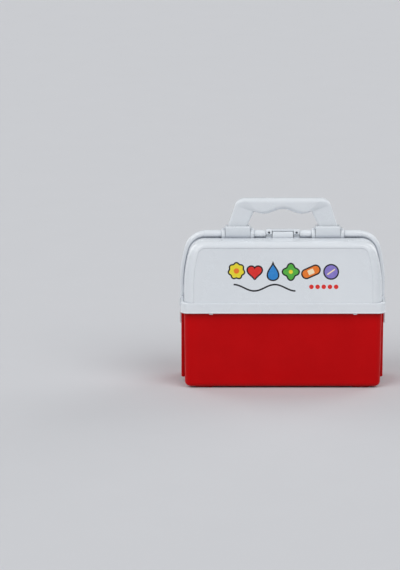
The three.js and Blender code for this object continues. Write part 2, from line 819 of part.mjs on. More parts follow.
// Latch: a strip over the bead with an ear down each side of the bar, on a barrel behind
function latchBody() {
  const { lipFront, lipBottom, lipTop, backRadius, innerRadius, pivotY, pivotZ, barrelRadius } = latch;
  const across = new THREE.Shape();
  across.moveTo(-lipFront, lipBottom);
  across.lineTo(-lipFront, lipTop);
  across.absarc(0, bead.z, backRadius, Math.PI / 2, 0, true);
  across.lineTo(pivotY, pivotZ + barrelRadius);
  across.lineTo(pivotY, pivotZ - barrelRadius / 2);
  across.lineTo(innerRadius, pivotZ);
  across.lineTo(innerRadius, bead.z);
  across.absarc(0, bead.z, innerRadius, 0, Math.PI / 2, false);
  across.lineTo(-halfSeam - FIT_GAP, lipBottom);
  const bridge = extrudeX(across, -latch.halfWidth, latch.halfWidth);
  const floor = lid.top + latch.floorGap;
  const cheek = new THREE.Shape();
  cheek.moveTo(-latch.front, floor + openingSlope * latch.front);
  cheek.lineTo(-latch.front, bead.z + (lipTop - bead.z) / 2);
  cheek.quadraticCurveTo(-latch.front, lipTop, -lipFront, lipTop);
  cheek.absarc(0, bead.z, backRadius, Math.PI / 2, 0, true);
  cheek.lineTo(pivotY, pivotZ + barrelRadius);
  cheek.lineTo(pivotY, floor);
  cheek.lineTo(0, floor);
  const pits = [];
  const cheeks = [-1, 1].map((side) => {
    const [x0, x1] = [side * latch.inner, side * latch.halfWidth].sort((a, b) => a - b);
    // Half of the drill stays outside the ear
    const drillLength = 2 * latch.pitDepth;
    const drill = new THREE.CylinderGeometry(latch.pitRadius, latch.pitRadius, drillLength, PIN_SIDES);
    drill.translate((x0 + x1) / 2, -latch.front, bead.z + latch.pitRise);
    pits.push(toSolid(drill));
    return extrudeX(cheek, x0, x1);
  });
  const barrel = rodX(barrelRadius, -latch.halfWidth, latch.halfWidth, pivotY, pivotZ);
  return join([bridge, ...cheeks, barrel])
    .subtract(join(pits))
    .subtract(latchHole(latch.halfWidth + CUT_OVERRUN));
}

// Finishes

const whitePlastic = new THREE.MeshStandardMaterial({ color: 0xdfe3e8, roughness: 0.28, metalness: 0 });
const redPlastic = new THREE.MeshStandardMaterial({ color: 0xa00c10, roughness: 0.32, metalness: 0 });
const steel = new THREE.MeshStandardMaterial({ color: 0xb4b6b8, roughness: 0.35, metalness: 1 });

function piece(name, solid, material) {
  const mesh = new THREE.Mesh(toGeometry(solid), material);
  mesh.name = name;
  return mesh;
}

const top = closedTop();
const doctorCase = new THREE.Group();
doctorCase.name = 'toy_doctor_case';
doctorCase.add(
  piece('tub', tubBody(), redPlastic),
  piece('front_lid', frontLid(top), whitePlastic),
  piece('rear_lid', rearLid(top), whitePlastic),
  piece('handle', handleBody(), whitePlastic),
  piece('latch', latchBody(), whitePlastic),
);

hingePlaces.forEach(({ x, front, side }) => {
  const name = `${front < 0 ? 'front' : 'rear'}_${side < 0 ? 'left' : 'right'}_hinge_pin`;
  const half = hinge.lugOuter;
  const pin = rodX(hinge.pinRadius, x - half, x + half, front * hinge.y, hinge.z, 0, PIN_SIDES);
  doctorCase.add(piece(name, pin, steel));
});

[-1, 1].forEach((side) => {
  const x = side * handle.x;
  const half = socket.halfWidth;
  const pin = rodX(handle.pinRadius, x - half, x + half, handle.pivotY, handle.pivotZ, 0, PIN_SIDES);
  doctorCase.add(piece(`${side < 0 ? 'left' : 'right'}_handle_pin`, pin, steel));
});

const latchPin = rodX(
  latch.pinRadius, -latch.lugOuter, latch.lugOuter, latch.pivotY, latch.pivotZ, 0, PIN_SIDES,
);
doctorCase.add(piece('latch_pin', latchPin, steel));

export default doctorCase;
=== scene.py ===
import json
import logging
import math
from dataclasses import dataclass, field
from enum import Enum
from functools import reduce
from itertools import product
from typing import Any, Callable, Iterable, Sequence

import bmesh
import bpy
import numpy as np
from mathutils import Matrix


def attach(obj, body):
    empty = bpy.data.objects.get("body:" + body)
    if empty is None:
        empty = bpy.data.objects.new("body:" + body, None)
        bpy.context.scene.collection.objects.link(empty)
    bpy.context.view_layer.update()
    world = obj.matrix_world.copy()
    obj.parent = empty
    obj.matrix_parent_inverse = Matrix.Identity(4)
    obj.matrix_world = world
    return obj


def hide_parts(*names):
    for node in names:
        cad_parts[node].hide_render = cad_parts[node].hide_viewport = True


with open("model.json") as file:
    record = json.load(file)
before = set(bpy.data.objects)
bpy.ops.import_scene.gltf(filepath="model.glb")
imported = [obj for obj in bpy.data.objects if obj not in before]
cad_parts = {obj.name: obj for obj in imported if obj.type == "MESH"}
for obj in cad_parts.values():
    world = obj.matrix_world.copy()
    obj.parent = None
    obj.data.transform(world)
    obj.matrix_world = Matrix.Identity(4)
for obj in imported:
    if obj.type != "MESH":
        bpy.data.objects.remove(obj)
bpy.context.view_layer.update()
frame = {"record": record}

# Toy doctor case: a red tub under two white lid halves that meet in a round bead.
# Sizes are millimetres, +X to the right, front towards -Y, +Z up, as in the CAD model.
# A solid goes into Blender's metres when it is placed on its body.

LOG = logging.getLogger("doctor_case")
METRES = 0.001
OVERRUN = 5.0
WALL = 2.0
FIT_GAP = 0.35
SEAM_GAP = 0.3
HALF_SEAM = SEAM_GAP / 2
SMOOTH_BELOW = math.radians(38)
SAME_POINT = 1e-4
SHARPEST_TURN = 0.25

CORNER_STEPS = 10
CROWN_STEPS = 22
SIDE_STEPS = 10
ROD_SIDES = 40
EDGE_STEPS = 4
HEART_STEPS = 72
DROP_STEPS = 60
PETAL_STEPS = 16
WAVE_STEPS = 90
CORNER_SAMPLES = 8
EDGE_SAMPLES = 4
BEAD_TURNS = (np.arange(ROD_SIDES) + 0.5) * 2 * math.pi / ROD_SIDES

Colour = tuple[float, float, float]
Point = tuple[float, float]
Span = tuple[float, float]
Station = tuple[float, float, float]
Placer = Callable[[np.ndarray], np.ndarray]


class Face(Enum):
    """Which way a lid half looks: the sign of its Y."""

    FRONT = -1
    REAR = 1


class Hand(Enum):
    """Left or right of the case's middle: the sign of its X."""

    LEFT = -1
    RIGHT = 1


def srgb(red: int, green: int, blue: int) -> Colour:
    """Turns a display colour into the linear colour that a shader takes.

    Args:
        red: Display red, 0 to 255.
        green: Display green, 0 to 255.
        blue: Display blue, 0 to 255.

    Returns:
        The linear colour.
    """
    shares = [channel / 255 for channel in (red, green, blue)]
    linear = [s / 12.92 if s <= 0.04045 else ((s + 0.055) / 1.055) ** 2.4 for s in shares]
    return linear[0], linear[1], linear[2]


# Shader maths


class Link:
    """A socket that gives a value, so that shader maths reads as Python."""

    def __init__(self, shader: "Shader", socket: bpy.types.NodeSocket | None) -> None:
        """Wraps one output socket of a shader's nodes."""
        self.shader = shader
        self.socket = socket

    def _math(self, operation: str, *values: "Link | float") -> "Link":
        """Adds one Math node on these values."""
        return self.shader.node("ShaderNodeMath", {"operation": operation}, dict(enumerate(values)))

    def __add__(self, other: "Link | float") -> "Link":
        """Adds."""
        return self._math("ADD", self, other)

    __radd__ = __add__

    def __sub__(self, other: "Link | float") -> "Link":
        """Takes away."""
        return self._math("SUBTRACT", self, other)

    def __rsub__(self, other: float) -> "Link":
        """Takes this value away from a number."""
        return self._math("SUBTRACT", other, self)

    def __mul__(self, other: "Link | float") -> "Link":
        """Multiplies."""
        return self._math("MULTIPLY", self, other)

    __rmul__ = __mul__


class Shader:
    """The node tree of one finish, or of the surroundings."""

    MIX_COLOURS = {"factor": 0, "a": 6, "b": 7, "result": 2}

    def __init__(self, owner: "bpy.types.Material | bpy.types.World") -> None:
        """Empties the owner's node tree.

        Args:
            owner: The material or the world that it belongs to.
        """
        self.owner = owner
        owner.use_nodes = True
        self.tree = owner.node_tree
        self.tree.nodes.clear()

    @classmethod
    def of_material(cls, name: str) -> "Shader":
        """Starts an empty material."""
        return cls(bpy.data.materials.new(name))

    def node(
        self,
        kind: str,
        settings: dict[str, Any] | None = None,
        sockets: dict[str | int, Any] | None = None,
        output: str | int = 0,
    ) -> Link:
        """Adds a node.

        Args:
            kind: The node's type.
            settings: Its settings, set first.
            sockets: Values or links for its sockets, by name or number.
            output: The socket that is given back.

        Returns:
            The link from that output.
        """
        made = self.tree.nodes.new(kind)
        for setting, value in (settings or {}).items():
            setattr(made, setting, value)
        for name, value in (sockets or {}).items():
            if isinstance(value, Link):
                self.tree.links.new(value.socket, made.inputs[name])
            else:
                made.inputs[name].default_value = value
        return Link(self, made.outputs[output] if len(made.outputs) else None)

    def place(self) -> Link:
        """Gives the point on the piece, in metres, which moves with it."""
        return self.node("ShaderNodeTexCoord", output="Object")

    def noise(self, size: float, detail: float = 2.0, roughness: float = 0.5) -> Link:
        """Adds noise whose lumps have a size.

        Args:
            size: Distance between lumps, in millimetres.
            detail: Octaves of finer noise on it.
            roughness: Strength of the finer noise.

        Returns:
            The noise, from 0 to 1.
        """
        return self.node("ShaderNodeTexNoise", sockets={
            "Vector": self.place(), "Scale": 1 / (size * METRES), "Detail": detail, "Roughness": roughness,
        })

    def spread(self, value: Link, span: Span, to: Span = (0.0, 1.0)) -> Link:
        """Maps a value smoothly from one range to another.

        Args:
            value: What is mapped.
            span: Its range.
            to: What the ends of its range become.

        Returns:
            The mapped value.
        """
        return self.node("ShaderNodeMapRange", {"interpolation_type": "SMOOTHSTEP"}, {
            "Value": value, "From Min": span[0], "From Max": span[1], "To Min": to[0], "To Max": to[1],
        })

    def mix(self, factor: "Link | float", first: "Link | Colour", second: "Link | Colour") -> Link:
        """Mixes two colours.

        Args:
            factor: Share of the second.
            first: Colour at 0.
            second: Colour at 1.

        Returns:
            The mixed colour.
        """
        at = self.MIX_COLOURS
        values = {at["factor"]: factor}
        for slot, colour in ((at["a"], first), (at["b"], second)):
            values[slot] = colour if isinstance(colour, Link) else (*colour, 1.0)
        return self.node("ShaderNodeMix", {"data_type": "RGBA"}, values, at["result"])

    def openness(self, reach: float) -> Link:
        """Gives how open the piece is at a point, from 0 deep in a corner to 1, within some millimetres."""
        settings = {"samples": CORNER_SAMPLES, "only_local": True}
        return self.node("ShaderNodeAmbientOcclusion", settings, {"Distance": reach * METRES}, "AO")

    def rounded_edges(self, radius: float) -> Link:
        """Gives the normal with small edges rounded off, by a radius in millimetres."""
        return self.node("ShaderNodeBevel", {"samples": EDGE_SAMPLES}, {"Radius": radius * METRES})

    def bump(self, height: Link, depth: float, normal: Link) -> Link:
        """Raises a surface.

        Args:
            height: The relief, from 0 to 1.
            depth: Its full height in millimetres.
            normal: The normal that it starts from.

        Returns:
            The new normal.
        """
        return self.node("ShaderNodeBump", sockets={
            "Height": height, "Distance": depth * METRES, "Strength": 1.0, "Normal": normal,
        })

    def surface(self, sockets: dict[str, Any]) -> bpy.types.Material:
        """Ends the tree in one surface shader.

        Args:
            sockets: Values or links for the shader's sockets.

        Returns:
            The finished material.
        """
        shader = self.node("ShaderNodeBsdfPrincipled", sockets=sockets)
        self.node("ShaderNodeOutputMaterial", sockets={"Surface": shader})
        return self.owner


# Finishes


@dataclass(frozen=True)
class MouldedPlastic:
    """Shiny moulded plastic with faint flow clouds, a fine skin, edges lightened by rub wear and by a painted
    highlight, and painted shade in its inner corners.
    """

    name: str
    slot: str
    colour: Colour
    cloud: Colour
    # rubbed: lighter colour at edges, partly rub wear and partly a painted highlight
    rubbed_highlight: Colour
    # corner: painted shade, the colour laid into the piece's own inner corners and creases where ambient
    # occlusion finds shade
    corner: Colour
    gloss: Span
    grain: float
    grain_depth: float
    coat: float
    subsurface: float
    specular: float
    edge: float = 0.35
    grain_roughness: float = 0.6
    grain_share: float = 0.7
    fine_grain: float = 0.42
    fine_share: float = 0.3
    coat_roughness: float = 0.1
    refraction: float = 1.49
    scatter: float = 2.0
    # span and strength of the lighter edges, partly rub wear and partly a painted highlight
    rub_and_highlight_span: Span = (0.02, 0.3)
    rub_and_highlight_most: float = 0.4
    rub_dulling: float = 0.1
    cloud_size: float = 38.0
    cloud_span: Span = (0.3, 0.7)
    cloud_share: float = 0.55
    mottle_share: float = 0.35
    gloss_span: Span = (0.2, 0.8)
    wave_size: float = 16.0
    wave_depth: float = 0.035
    # reach and span of the painted corner shade
    painted_shade_reach: float = 6.0
    painted_shade_span: Span = (0.25, 0.9)

    def material(self) -> bpy.types.Material:
        """Builds the finish.

        Returns:
            The material.
        """
        shader = Shader.of_material(self.name)
        clouds = shader.spread(shader.noise(self.cloud_size, 3.0), self.cloud_span)
        mottle = shader.noise(self.grain, 3.0, self.grain_roughness)
        fine = shader.noise(self.grain * self.fine_grain, 2.0)
        rounded = shader.rounded_edges(self.edge)
        # edge mask: rub wear that also lightens edges as a painted highlight
        rub_and_highlight = shader.spread(self._edge_share(shader, rounded), self.rub_and_highlight_span, (0.0, self.rub_and_highlight_most))
        body = shader.mix(clouds * self.cloud_share + mottle * self.mottle_share, self.colour, self.cloud)
        # painted shade: ambient occlusion within the piece gives how far each point lies in a corner or
        # crease
        painted_shade_share = shader.spread(shader.openness(self.painted_shade_reach), self.painted_shade_span, (1.0, 0.0))
        # mixes in the lighter edge colour, partly a painted highlight, and then the painted corner shade
        colour = shader.mix(painted_shade_share, shader.mix(rub_and_highlight, body, self.rubbed_highlight), self.corner)
        rough = shader.spread(clouds * 0.5 + mottle * 0.5, self.gloss_span, self.gloss)
        rough = rough + rub_and_highlight * self.rub_dulling
        waved = shader.bump(shader.noise(self.wave_size, 1.0), self.wave_depth, rounded)
        skin = mottle * self.grain_share + fine * self.fine_share
        grained = shader.bump(skin, self.grain_depth, waved)
        return shader.surface({
            "Base Color": colour,
            "Roughness": rough,
            "IOR": self.refraction,
            "Specular IOR Level": self.specular,
            "Normal": grained,
            "Coat Weight": self.coat,
            "Coat Roughness": self.coat_roughness,
            "Subsurface Weight": self.subsurface,
            "Subsurface Radius": (1.0, 1.0, 1.0),
            "Subsurface Scale": self.scatter * METRES,
        })

    @staticmethod
    def _edge_share(shader: Shader, rounded: Link) -> Link:
        """Gives how far the rounded normal has turned from the true one, which shows at edges.

        Args:
            shader: The finish's tree.
            rounded: The rounded normal.

        Returns:
            The share, 0 away from edges.
        """
        flat = shader.node("ShaderNodeNewGeometry", output="Normal")
        settings = {"operation": "DOT_PRODUCT"}
        return 1 - shader.node("ShaderNodeVectorMath", settings, {0: rounded, 1: flat}, "Value")


@dataclass(frozen=True)
class DrawnSteel:
    """Bright steel wire with marks drawn along it."""

    name: str
    slot: str
    colour: Colour
    dull: Colour
    gloss: Span = (0.22, 0.42)
    stretch: float = 14.0
    marks_per_metre: float = 5200.0
    mark_depth: float = 0.01
    mark_span: Span = (0.3, 0.7)
    tarnish_size: float = 3.5
    tarnish_span: Span = (0.45, 0.7)
    tarnish_share: float = 0.6
    tarnish_dulling: float = 0.12
    edge: float = 0.2

    def material(self) -> bpy.types.Material:
        """Builds the finish.

        Returns:
            The material.
        """
        shader = Shader.of_material(self.name)
        along = shader.node("ShaderNodeMapping", {"vector_type": "TEXTURE"}, {
            "Vector": shader.place(), "Scale": (self.stretch, 1.0, 1.0),
        })
        marks = shader.node("ShaderNodeTexNoise", sockets={
            "Vector": along, "Scale": self.marks_per_metre, "Detail": 2.0,
        })
        tarnish = shader.spread(shader.noise(self.tarnish_size, 3.0), self.tarnish_span)
        return shader.surface({
            "Base Color": shader.mix(tarnish * self.tarnish_share, self.colour, self.dull),
            "Metallic": 1.0,
            "Roughness": shader.spread(marks, self.mark_span, self.gloss) + tarnish * self.tarnish_dulling,
            "Normal": shader.bump(marks, self.mark_depth, shader.rounded_edges(self.edge)),
        })


@dataclass(frozen=True)
class PadInk:
    """Printed ink: a thin satin film with a slightly uneven cover."""

    name: str
    colour: Colour
    thin: Colour
    gloss: Span = (0.3, 0.42)
    coat: float = 0.2
    coat_roughness: float = 0.15
    cover_size: float = 2.6
    cover_roughness: float = 0.6
    cover_span: Span = (0.35, 0.75)
    cover_share: float = 0.5
    cover_dulling: float = 0.06
    film_size: float = 0.5
    film_span: Span = (0.3, 0.7)
    film_depth: float = 0.006
    edge: float = 0.05

    def material(self) -> bpy.types.Material:
        """Builds the finish.

        Returns:
            The material.
        """
        shader = Shader.of_material(self.name)
        cover = shader.spread(shader.noise(self.cover_size, 3.0, self.cover_roughness), self.cover_span)
        film = shader.noise(self.film_size, 2.0)
        return shader.surface({
            "Base Color": shader.mix(cover * self.cover_share, self.colour, self.thin),
            "Roughness": shader.spread(film, self.film_span, self.gloss) + cover * self.cover_dulling,
            "Coat Weight": self.coat,
            "Coat Roughness": self.coat_roughness,
            "Normal": shader.bump(film, self.film_depth, shader.rounded_edges(self.edge)),
        })


@dataclass(frozen=True)
class StudioFloor:
    """Plain pale paper with a hardly visible tooth."""

    name: str
    colour: Colour
    shade: Colour
    tooth_size: float = 60.0
    roughness: float = 0.9

    def material(self) -> bpy.types.Material:
        """Builds the finish.

        Returns:
            The material.
        """
        shader = Shader.of_material(self.name)
        tooth = shader.noise(self.tooth_size, 2.0)
        return shader.surface({
            "Base Color": shader.mix(tooth * 0.5, self.colour, self.shade),
            "Roughness": self.roughness,
        })


WHITE = MouldedPlastic(
    name="white_moulded_plastic",
    slot="white_plastic",
    colour=srgb(229, 233, 237),
    cloud=srgb(223, 228, 233),
    # rubbed: lighter edge colour, partly rub wear and partly a painted highlight
    rubbed_highlight=srgb(240, 242, 245),
    # corner: painted shade colour for the white pieces' inner corners
    corner=srgb(199, 204, 211),
    gloss=(0.2, 0.3),
    grain=1.1,
    grain_depth=0.0015,
    coat=0.12,
    subsurface=0.08,
    specular=0.5,
)
RED = MouldedPlastic(
    name="red_moulded_plastic",
    slot="red_plastic",
    colour=srgb(198, 3, 8),
    cloud=srgb(188, 2, 6),
    # rubbed: lighter edge colour, partly rub wear and partly a painted highlight
    rubbed_highlight=srgb(206, 40, 38),
    # corner: painted shade colour for the red tub's inner corners
    corner=srgb(150, 1, 5),
    gloss=(0.34, 0.46),
    grain=0.8,
    grain_depth=0.02,
    coat=0.0,
    subsurface=0.0,
    specular=0.1,
)
STEEL = DrawnSteel(
    name="drawn_steel", slot="steel", colour=srgb(205, 206, 208), dull=srgb(150, 148, 146),
)
FLOOR = StudioFloor(name="pale_floor", colour=srgb(203, 204, 207), shade=srgb(199, 200, 203))


class Ink(Enum):
    """The inks of the lid's print."""

    OUTLINE = PadInk("ink_dark", srgb(14, 13, 20), srgb(26, 26, 36))
    RED = PadInk("ink_red", srgb(222, 40, 34), srgb(232, 66, 56))
    BLUE = PadInk("ink_blue", srgb(38, 130, 205), srgb(66, 150, 218))
    GREEN = PadInk("ink_green", srgb(80, 176, 60), srgb(104, 190, 84))
    ORANGE = PadInk("ink_orange", srgb(238, 120, 34), srgb(242, 140, 62))
    PURPLE = PadInk("ink_purple", srgb(136, 122, 202), srgb(154, 142, 212))
    YELLOW = PadInk("ink_yellow", srgb(236, 218, 44), srgb(242, 228, 84))
    CREAM = PadInk("ink_cream", srgb(250, 228, 190), srgb(252, 236, 208))


# Flat outlines


class Outline:
    """A closed line drawn from point to point in a plane."""

    def __init__(self, u: float, v: float) -> None:
        """Starts at a point."""
        self.points: list[Point] = [(u, v)]

    def line(self, u: float, v: float) -> "Outline":
        """Goes straight to a point."""
        self.points.append((u, v))
        return self

    def arc(self, u: float, v: float, radius: float, start: float, end: float) -> "Outline":
        """Follows a circle.

        Args:
            u: Centre.
            v: Centre.
            radius: Radius.
            start: First angle in degrees.
            end: Last angle in degrees.

        Returns:
            The outline.
        """
        steps = max(2, round(abs(end - start) / 90 * CORNER_STEPS))
        for angle in np.radians(np.linspace(start, end, steps + 1)):
            self.points.append((u + radius * math.cos(angle), v + radius * math.sin(angle)))
        return self

    def bend(self, control: Point, end: Point, steps: int = CORNER_STEPS) -> "Outline":
        """Follows a quadratic curve.

        Args:
            control: The point that pulls it.
            end: Where it ends.
            steps: Straight pieces in it.

        Returns:
            The outline.
        """
        start = self.points[-1]
        for share in np.linspace(0, 1, steps + 1)[1:]:
            weights = (1 - share) ** 2, 2 * share * (1 - share), share ** 2
            self.points.append(tuple(
                sum(w * p[axis] for w, p in zip(weights, (start, control, end))) for axis in (0, 1)
            ))
        return self

    def closed(self) -> np.ndarray:
        """Closes the line.

        Returns:
            Its points once each, anticlockwise.
        """
        points = np.array(self.points, float)
        apart = np.linalg.norm(points - np.roll(points, 1, 0), axis=1) > SAME_POINT
        return anticlockwise(points[apart])


def anticlockwise(points: np.ndarray) -> np.ndarray:
    """Puts a closed line's points in anticlockwise order.

    Args:
        points: The points, in either order.

    Returns:
        The ordered points.
    """
    x, y = points.T
    area = np.sum(x * np.roll(y, -1) - y * np.roll(x, -1))
    return points if area > 0 else points[::-1]


def moved_in(points: np.ndarray, distance: float) -> np.ndarray:
    """Moves an anticlockwise closed line inwards.

    Args:
        points: The line.
        distance: How far, outwards where it is negative.

    Returns:
        The new line, point for point.
    """
    ahead = np.roll(points, -1, 0) - points
    ahead /= np.linalg.norm(ahead, axis=1, keepdims=True)
    inward = np.stack([-ahead[:, 1], ahead[:, 0]], 1)
    before = np.roll(inward, 1, 0)
    square = np.maximum(1 + np.sum(inward * before, axis=1, keepdims=True), SHARPEST_TURN)
    return points + distance * (inward + before) / square


def rounded_rectangle(half_u: float, half_v: float, radius: float) -> np.ndarray:
    """Gives a rounded rectangle about the origin.

    Args:
        half_u: Half its width.
        half_v: Half its height.
        radius: Radius of its corners.

    Returns:
        Its points, anticlockwise from the +u side.
    """
    points = []
    for corner, (side_u, side_v) in enumerate(((1, 1), (-1, 1), (-1, -1), (1, -1))):
        u = (half_u - radius) * side_u
        v = (half_v - radius) * side_v
        for step in range(CORNER_STEPS + 1):
            angle = (corner + step / CORNER_STEPS) * math.pi / 2
            points.append((u + radius * math.cos(angle), v + radius * math.sin(angle)))
    return np.array(points)


def raised(flat: np.ndarray, z: float) -> np.ndarray:
    """Lays flat points level at a height."""
    return np.column_stack([flat, np.full(len(flat), z)])


def level_ring(half_x: float, half_y: float, radius: float, z: float) -> np.ndarray:
    """Gives a rounded rectangle lying level at a height."""
    return raised(rounded_rectangle(half_x, half_y, radius), z)


def rectangle(u: Span, v: Span) -> np.ndarray:
    """Gives a rectangle between limits."""
    return Outline(u[0], v[0]).line(u[1], v[0]).line(u[1], v[1]).line(u[0], v[1]).closed()


def circle(radius: float, u: float = 0.0, v: float = 0.0, sides: int = ROD_SIDES) -> np.ndarray:
    """Gives a circle about a centre, anticlockwise."""
    angles = np.linspace(0, 2 * math.pi, sides, endpoint=False)
    return np.column_stack([u + radius * np.cos(angles), v + radius * np.sin(angles)])


def quarter_round(radius: float, steps: int = EDGE_STEPS) -> list[Point]:
    """Gives a rounded edge, step by step.

    Args:
        radius: Its radius, or 0 for a sharp edge.
        steps: Straight pieces in it.

    Returns:
        How far along and how far inwards each step is, from the end face to the side.
    """
    if not radius:
        return [(0.0, 0.0)]
    turns = np.linspace(0, math.pi / 2, steps + 1)
    return [(radius * (1 - math.cos(turn)), radius * (1 - math.sin(turn))) for turn in turns]


def along_x(flat: np.ndarray) -> np.ndarray:
    """Stands a profile of Y and Z up, so that it is carried along X."""
    return flat[:, [2, 0, 1]]


def along_y(flat: np.ndarray) -> np.ndarray:
    """Stands a profile of X and Z up, so that it is carried along Y."""
    return flat[:, [0, 2, 1]]


def ordered(first: float, second: float) -> Span:
    """Puts two numbers in order."""
    return min(first, second), max(first, second)


# Solids


def linked(name: str, data: bpy.types.ID) -> bpy.types.Object:
    """Makes an object and puts it into the scene.

    Args:
        name: Its name.
        data: Its mesh, light or camera.

    Returns:
        The object.
    """
    made = bpy.data.objects.new(name, data)
    bpy.context.scene.collection.objects.link(made)
    return made


class Solid:
    """A closed mesh in millimetres that others can be joined to or cut from."""

    def __init__(self, mesh: bpy.types.Mesh) -> None:
        """Wraps a mesh."""
        self.mesh = mesh

    @classmethod
    def loft(cls, rings: Sequence[np.ndarray]) -> "Solid":
        """Skins rings of points that all have the same count.

        Args:
            rings: The rings, from one end to the other.

        Returns:
            The closed solid.
        """
        count = len(rings[0])
        points = np.concatenate(rings)
        faces: list[list[int]] = []
        for ring in range(len(rings) - 1):
            for place in range(count):
                a = ring * count + place
                b = ring * count + (place + 1) % count
                faces.append([a, b, b + count, a + count])
        last = (len(rings) - 1) * count
        faces.append(list(range(count))[::-1])
        faces.append([last + place for place in range(count)])
        mesh = bpy.data.meshes.new("loft")
        mesh.from_pydata(points.tolist(), [], faces)
        work = bmesh.new()
        work.from_mesh(mesh)
        if work.calc_volume(signed=True) < 0:
            bmesh.ops.reverse_faces(work, faces=work.faces)
        work.to_mesh(mesh)
        work.free()
        return cls(mesh)

    @classmethod
    def prism(
        cls,
        outline: np.ndarray,
        low: float,
        high: float,
        placer: Placer = along_x,
        edge: float = 0.0,
    ) -> "Solid":
        """Carries an outline along a line, with rounded ends.

        Args:
            outline: The profile, anticlockwise.
            low: Where it starts.
            high: Where it ends.
            placer: Turns the profile's u, v and the way along into x, y, z.
            edge: Radius of its rounded ends.

        Returns:
            The solid.
        """
        ends = quarter_round(edge)
        places = [(low + along, inward) for along, inward in ends]
        places += [(high - along, inward) for along, inward in ends[::-1]]
        return cls.loft([
            placer(raised(moved_in(outline, inward) if inward else outline, place))
            for place, inward in places
        ])

    @classmethod
    def pair(cls, outline: np.ndarray, near: float, far: float, edge: float = 0.0) -> list["Solid"]:
        """Carries a profile of Y and Z along X from near to far, on the left and on the right."""
        spans = [ordered(hand.value * near, hand.value * far) for hand in Hand]
        return [cls.prism(outline, low, high, along_x, edge) for low, high in spans]

    @classmethod
    def box(cls, x: Span, y: Span, z: Span) -> "Solid":
        """Makes a plain block for joining or cutting, from its limits."""
        return cls.prism(rectangle(y, z), x[0], x[1])

    @classmethod
    def rod(cls, radius: float, x: Span, y: float, z: float, edge: float = 0.0) -> "Solid":
        """Makes a round rod along X between limits, about an axis at y and z, with rounded ends."""
        return cls.prism(circle(radius, y, z), x[0], x[1], along_x, edge)

    def _combined(self, other: "Solid", operation: str) -> "Solid":
        """Joins, cuts or keeps what is shared.

        Args:
            other: The second solid.
            operation: Blender's own name for what is done.

        Returns:
            The new solid.
        """
        objects = [linked(name, solid.mesh) for name, solid in (("kept", self), ("tool", other))]
        cutter = objects[0].modifiers.new("cut", "BOOLEAN")
        cutter.operation = operation
        cutter.solver = "MANIFOLD"
        cutter.object = objects[1]
        graph = bpy.context.evaluated_depsgraph_get()
        mesh = bpy.data.meshes.new_from_object(objects[0].evaluated_get(graph))
        for made in objects:
            bpy.data.objects.remove(made)
        return Solid(mesh)

    def __add__(self, other: "Solid") -> "Solid":
        """Joins two solids."""
        return self._combined(other, "UNION")

    def __sub__(self, other: "Solid") -> "Solid":
        """Cuts a solid away."""
        return self._combined(other, "DIFFERENCE")

    def __and__(self, other: "Solid") -> "Solid":
        """Keeps what both solids share."""
        return self._combined(other, "INTERSECT")

    def without(self, tools: Iterable["Solid"]) -> "Solid":
        """Cuts several solids away, one after the other."""
        return reduce(lambda body, tool: body - tool, tools, self)

    def placed(
        self, name: str, body: str, material: bpy.types.Material, slot: str = "", node: str = "",
    ) -> None:
        """Puts the solid on its body, in metres.

        Args:
            name: The piece's name.
            body: The body that it rides on.
            material: Its finish.
            slot: The record's material slot, if it has one; not used.
            node: The CAD node that it replaces, if there is one.
        """
        self.mesh.transform(Matrix.Scale(METRES, 4))
        self.mesh.materials.clear()
        self.mesh.materials.append(material)
        self.mesh.shade_smooth()
        self.mesh.set_sharp_from_angle(angle=SMOOTH_BELOW)
        made = linked(name, self.mesh)
        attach(made, body)
        if node:
            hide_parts(node)
        LOG.info("%s on %s: %d faces", name, body, len(self.mesh.polygons))


def joined(solids: Iterable[Solid]) -> Solid:
    """Joins several solids into one."""
    return reduce(lambda whole, solid: whole + solid, solids)


# Sizes that several pieces share


@dataclass(frozen=True)
class TubSizes:
    """The red tub's sizes."""

    half_width: float = 106.2
    half_depth: float = 36.7
    rim_top: float = 92.5
    draft: float = 1.2
    corner: float = 8.0
    bottom_corner: float = 5.0
    floor: float = 2.2
    foot_height: float = 1.6
    foot: tuple[float, float, float] = (20.0, 12.0, 4.0)
    foot_inset: Point = (22.0, 13.0)
    foot_edge: float = 0.5
    rim_edge: float = 0.6


TUB = TubSizes()


@dataclass(frozen=True)
class BandSizes:
    """The skirt band round the foot of the lid halves."""

    gap: float = 1.8
    half_width: float = TUB.half_width + gap + WALL
    half_depth: float = TUB.half_depth + gap + WALL
    bottom: float = TUB.rim_top - 8.5
    height: float = 11.3
    corner: float = 9.0
    edge: float = 0.8
    lip: float = 0.4
    lip_rise: float = 1.0
    lip_fade: float = 0.8
    crease_width: float = 0.7
    crease_depth: float = 0.9

    @property
    def top(self) -> float:
        """Height of the band's upper edge."""
        return self.bottom + self.height


BAND = BandSizes()


@dataclass(frozen=True)
class RibSizes:
    """The ribs up the end walls of the tub."""

    half_width: float = 10.8
    outer: float = BAND.half_width - 0.9
    bottom: float = 6.0
    edge: float = 1.5
    top_gap: float = 0.5


RIB = RibSizes()


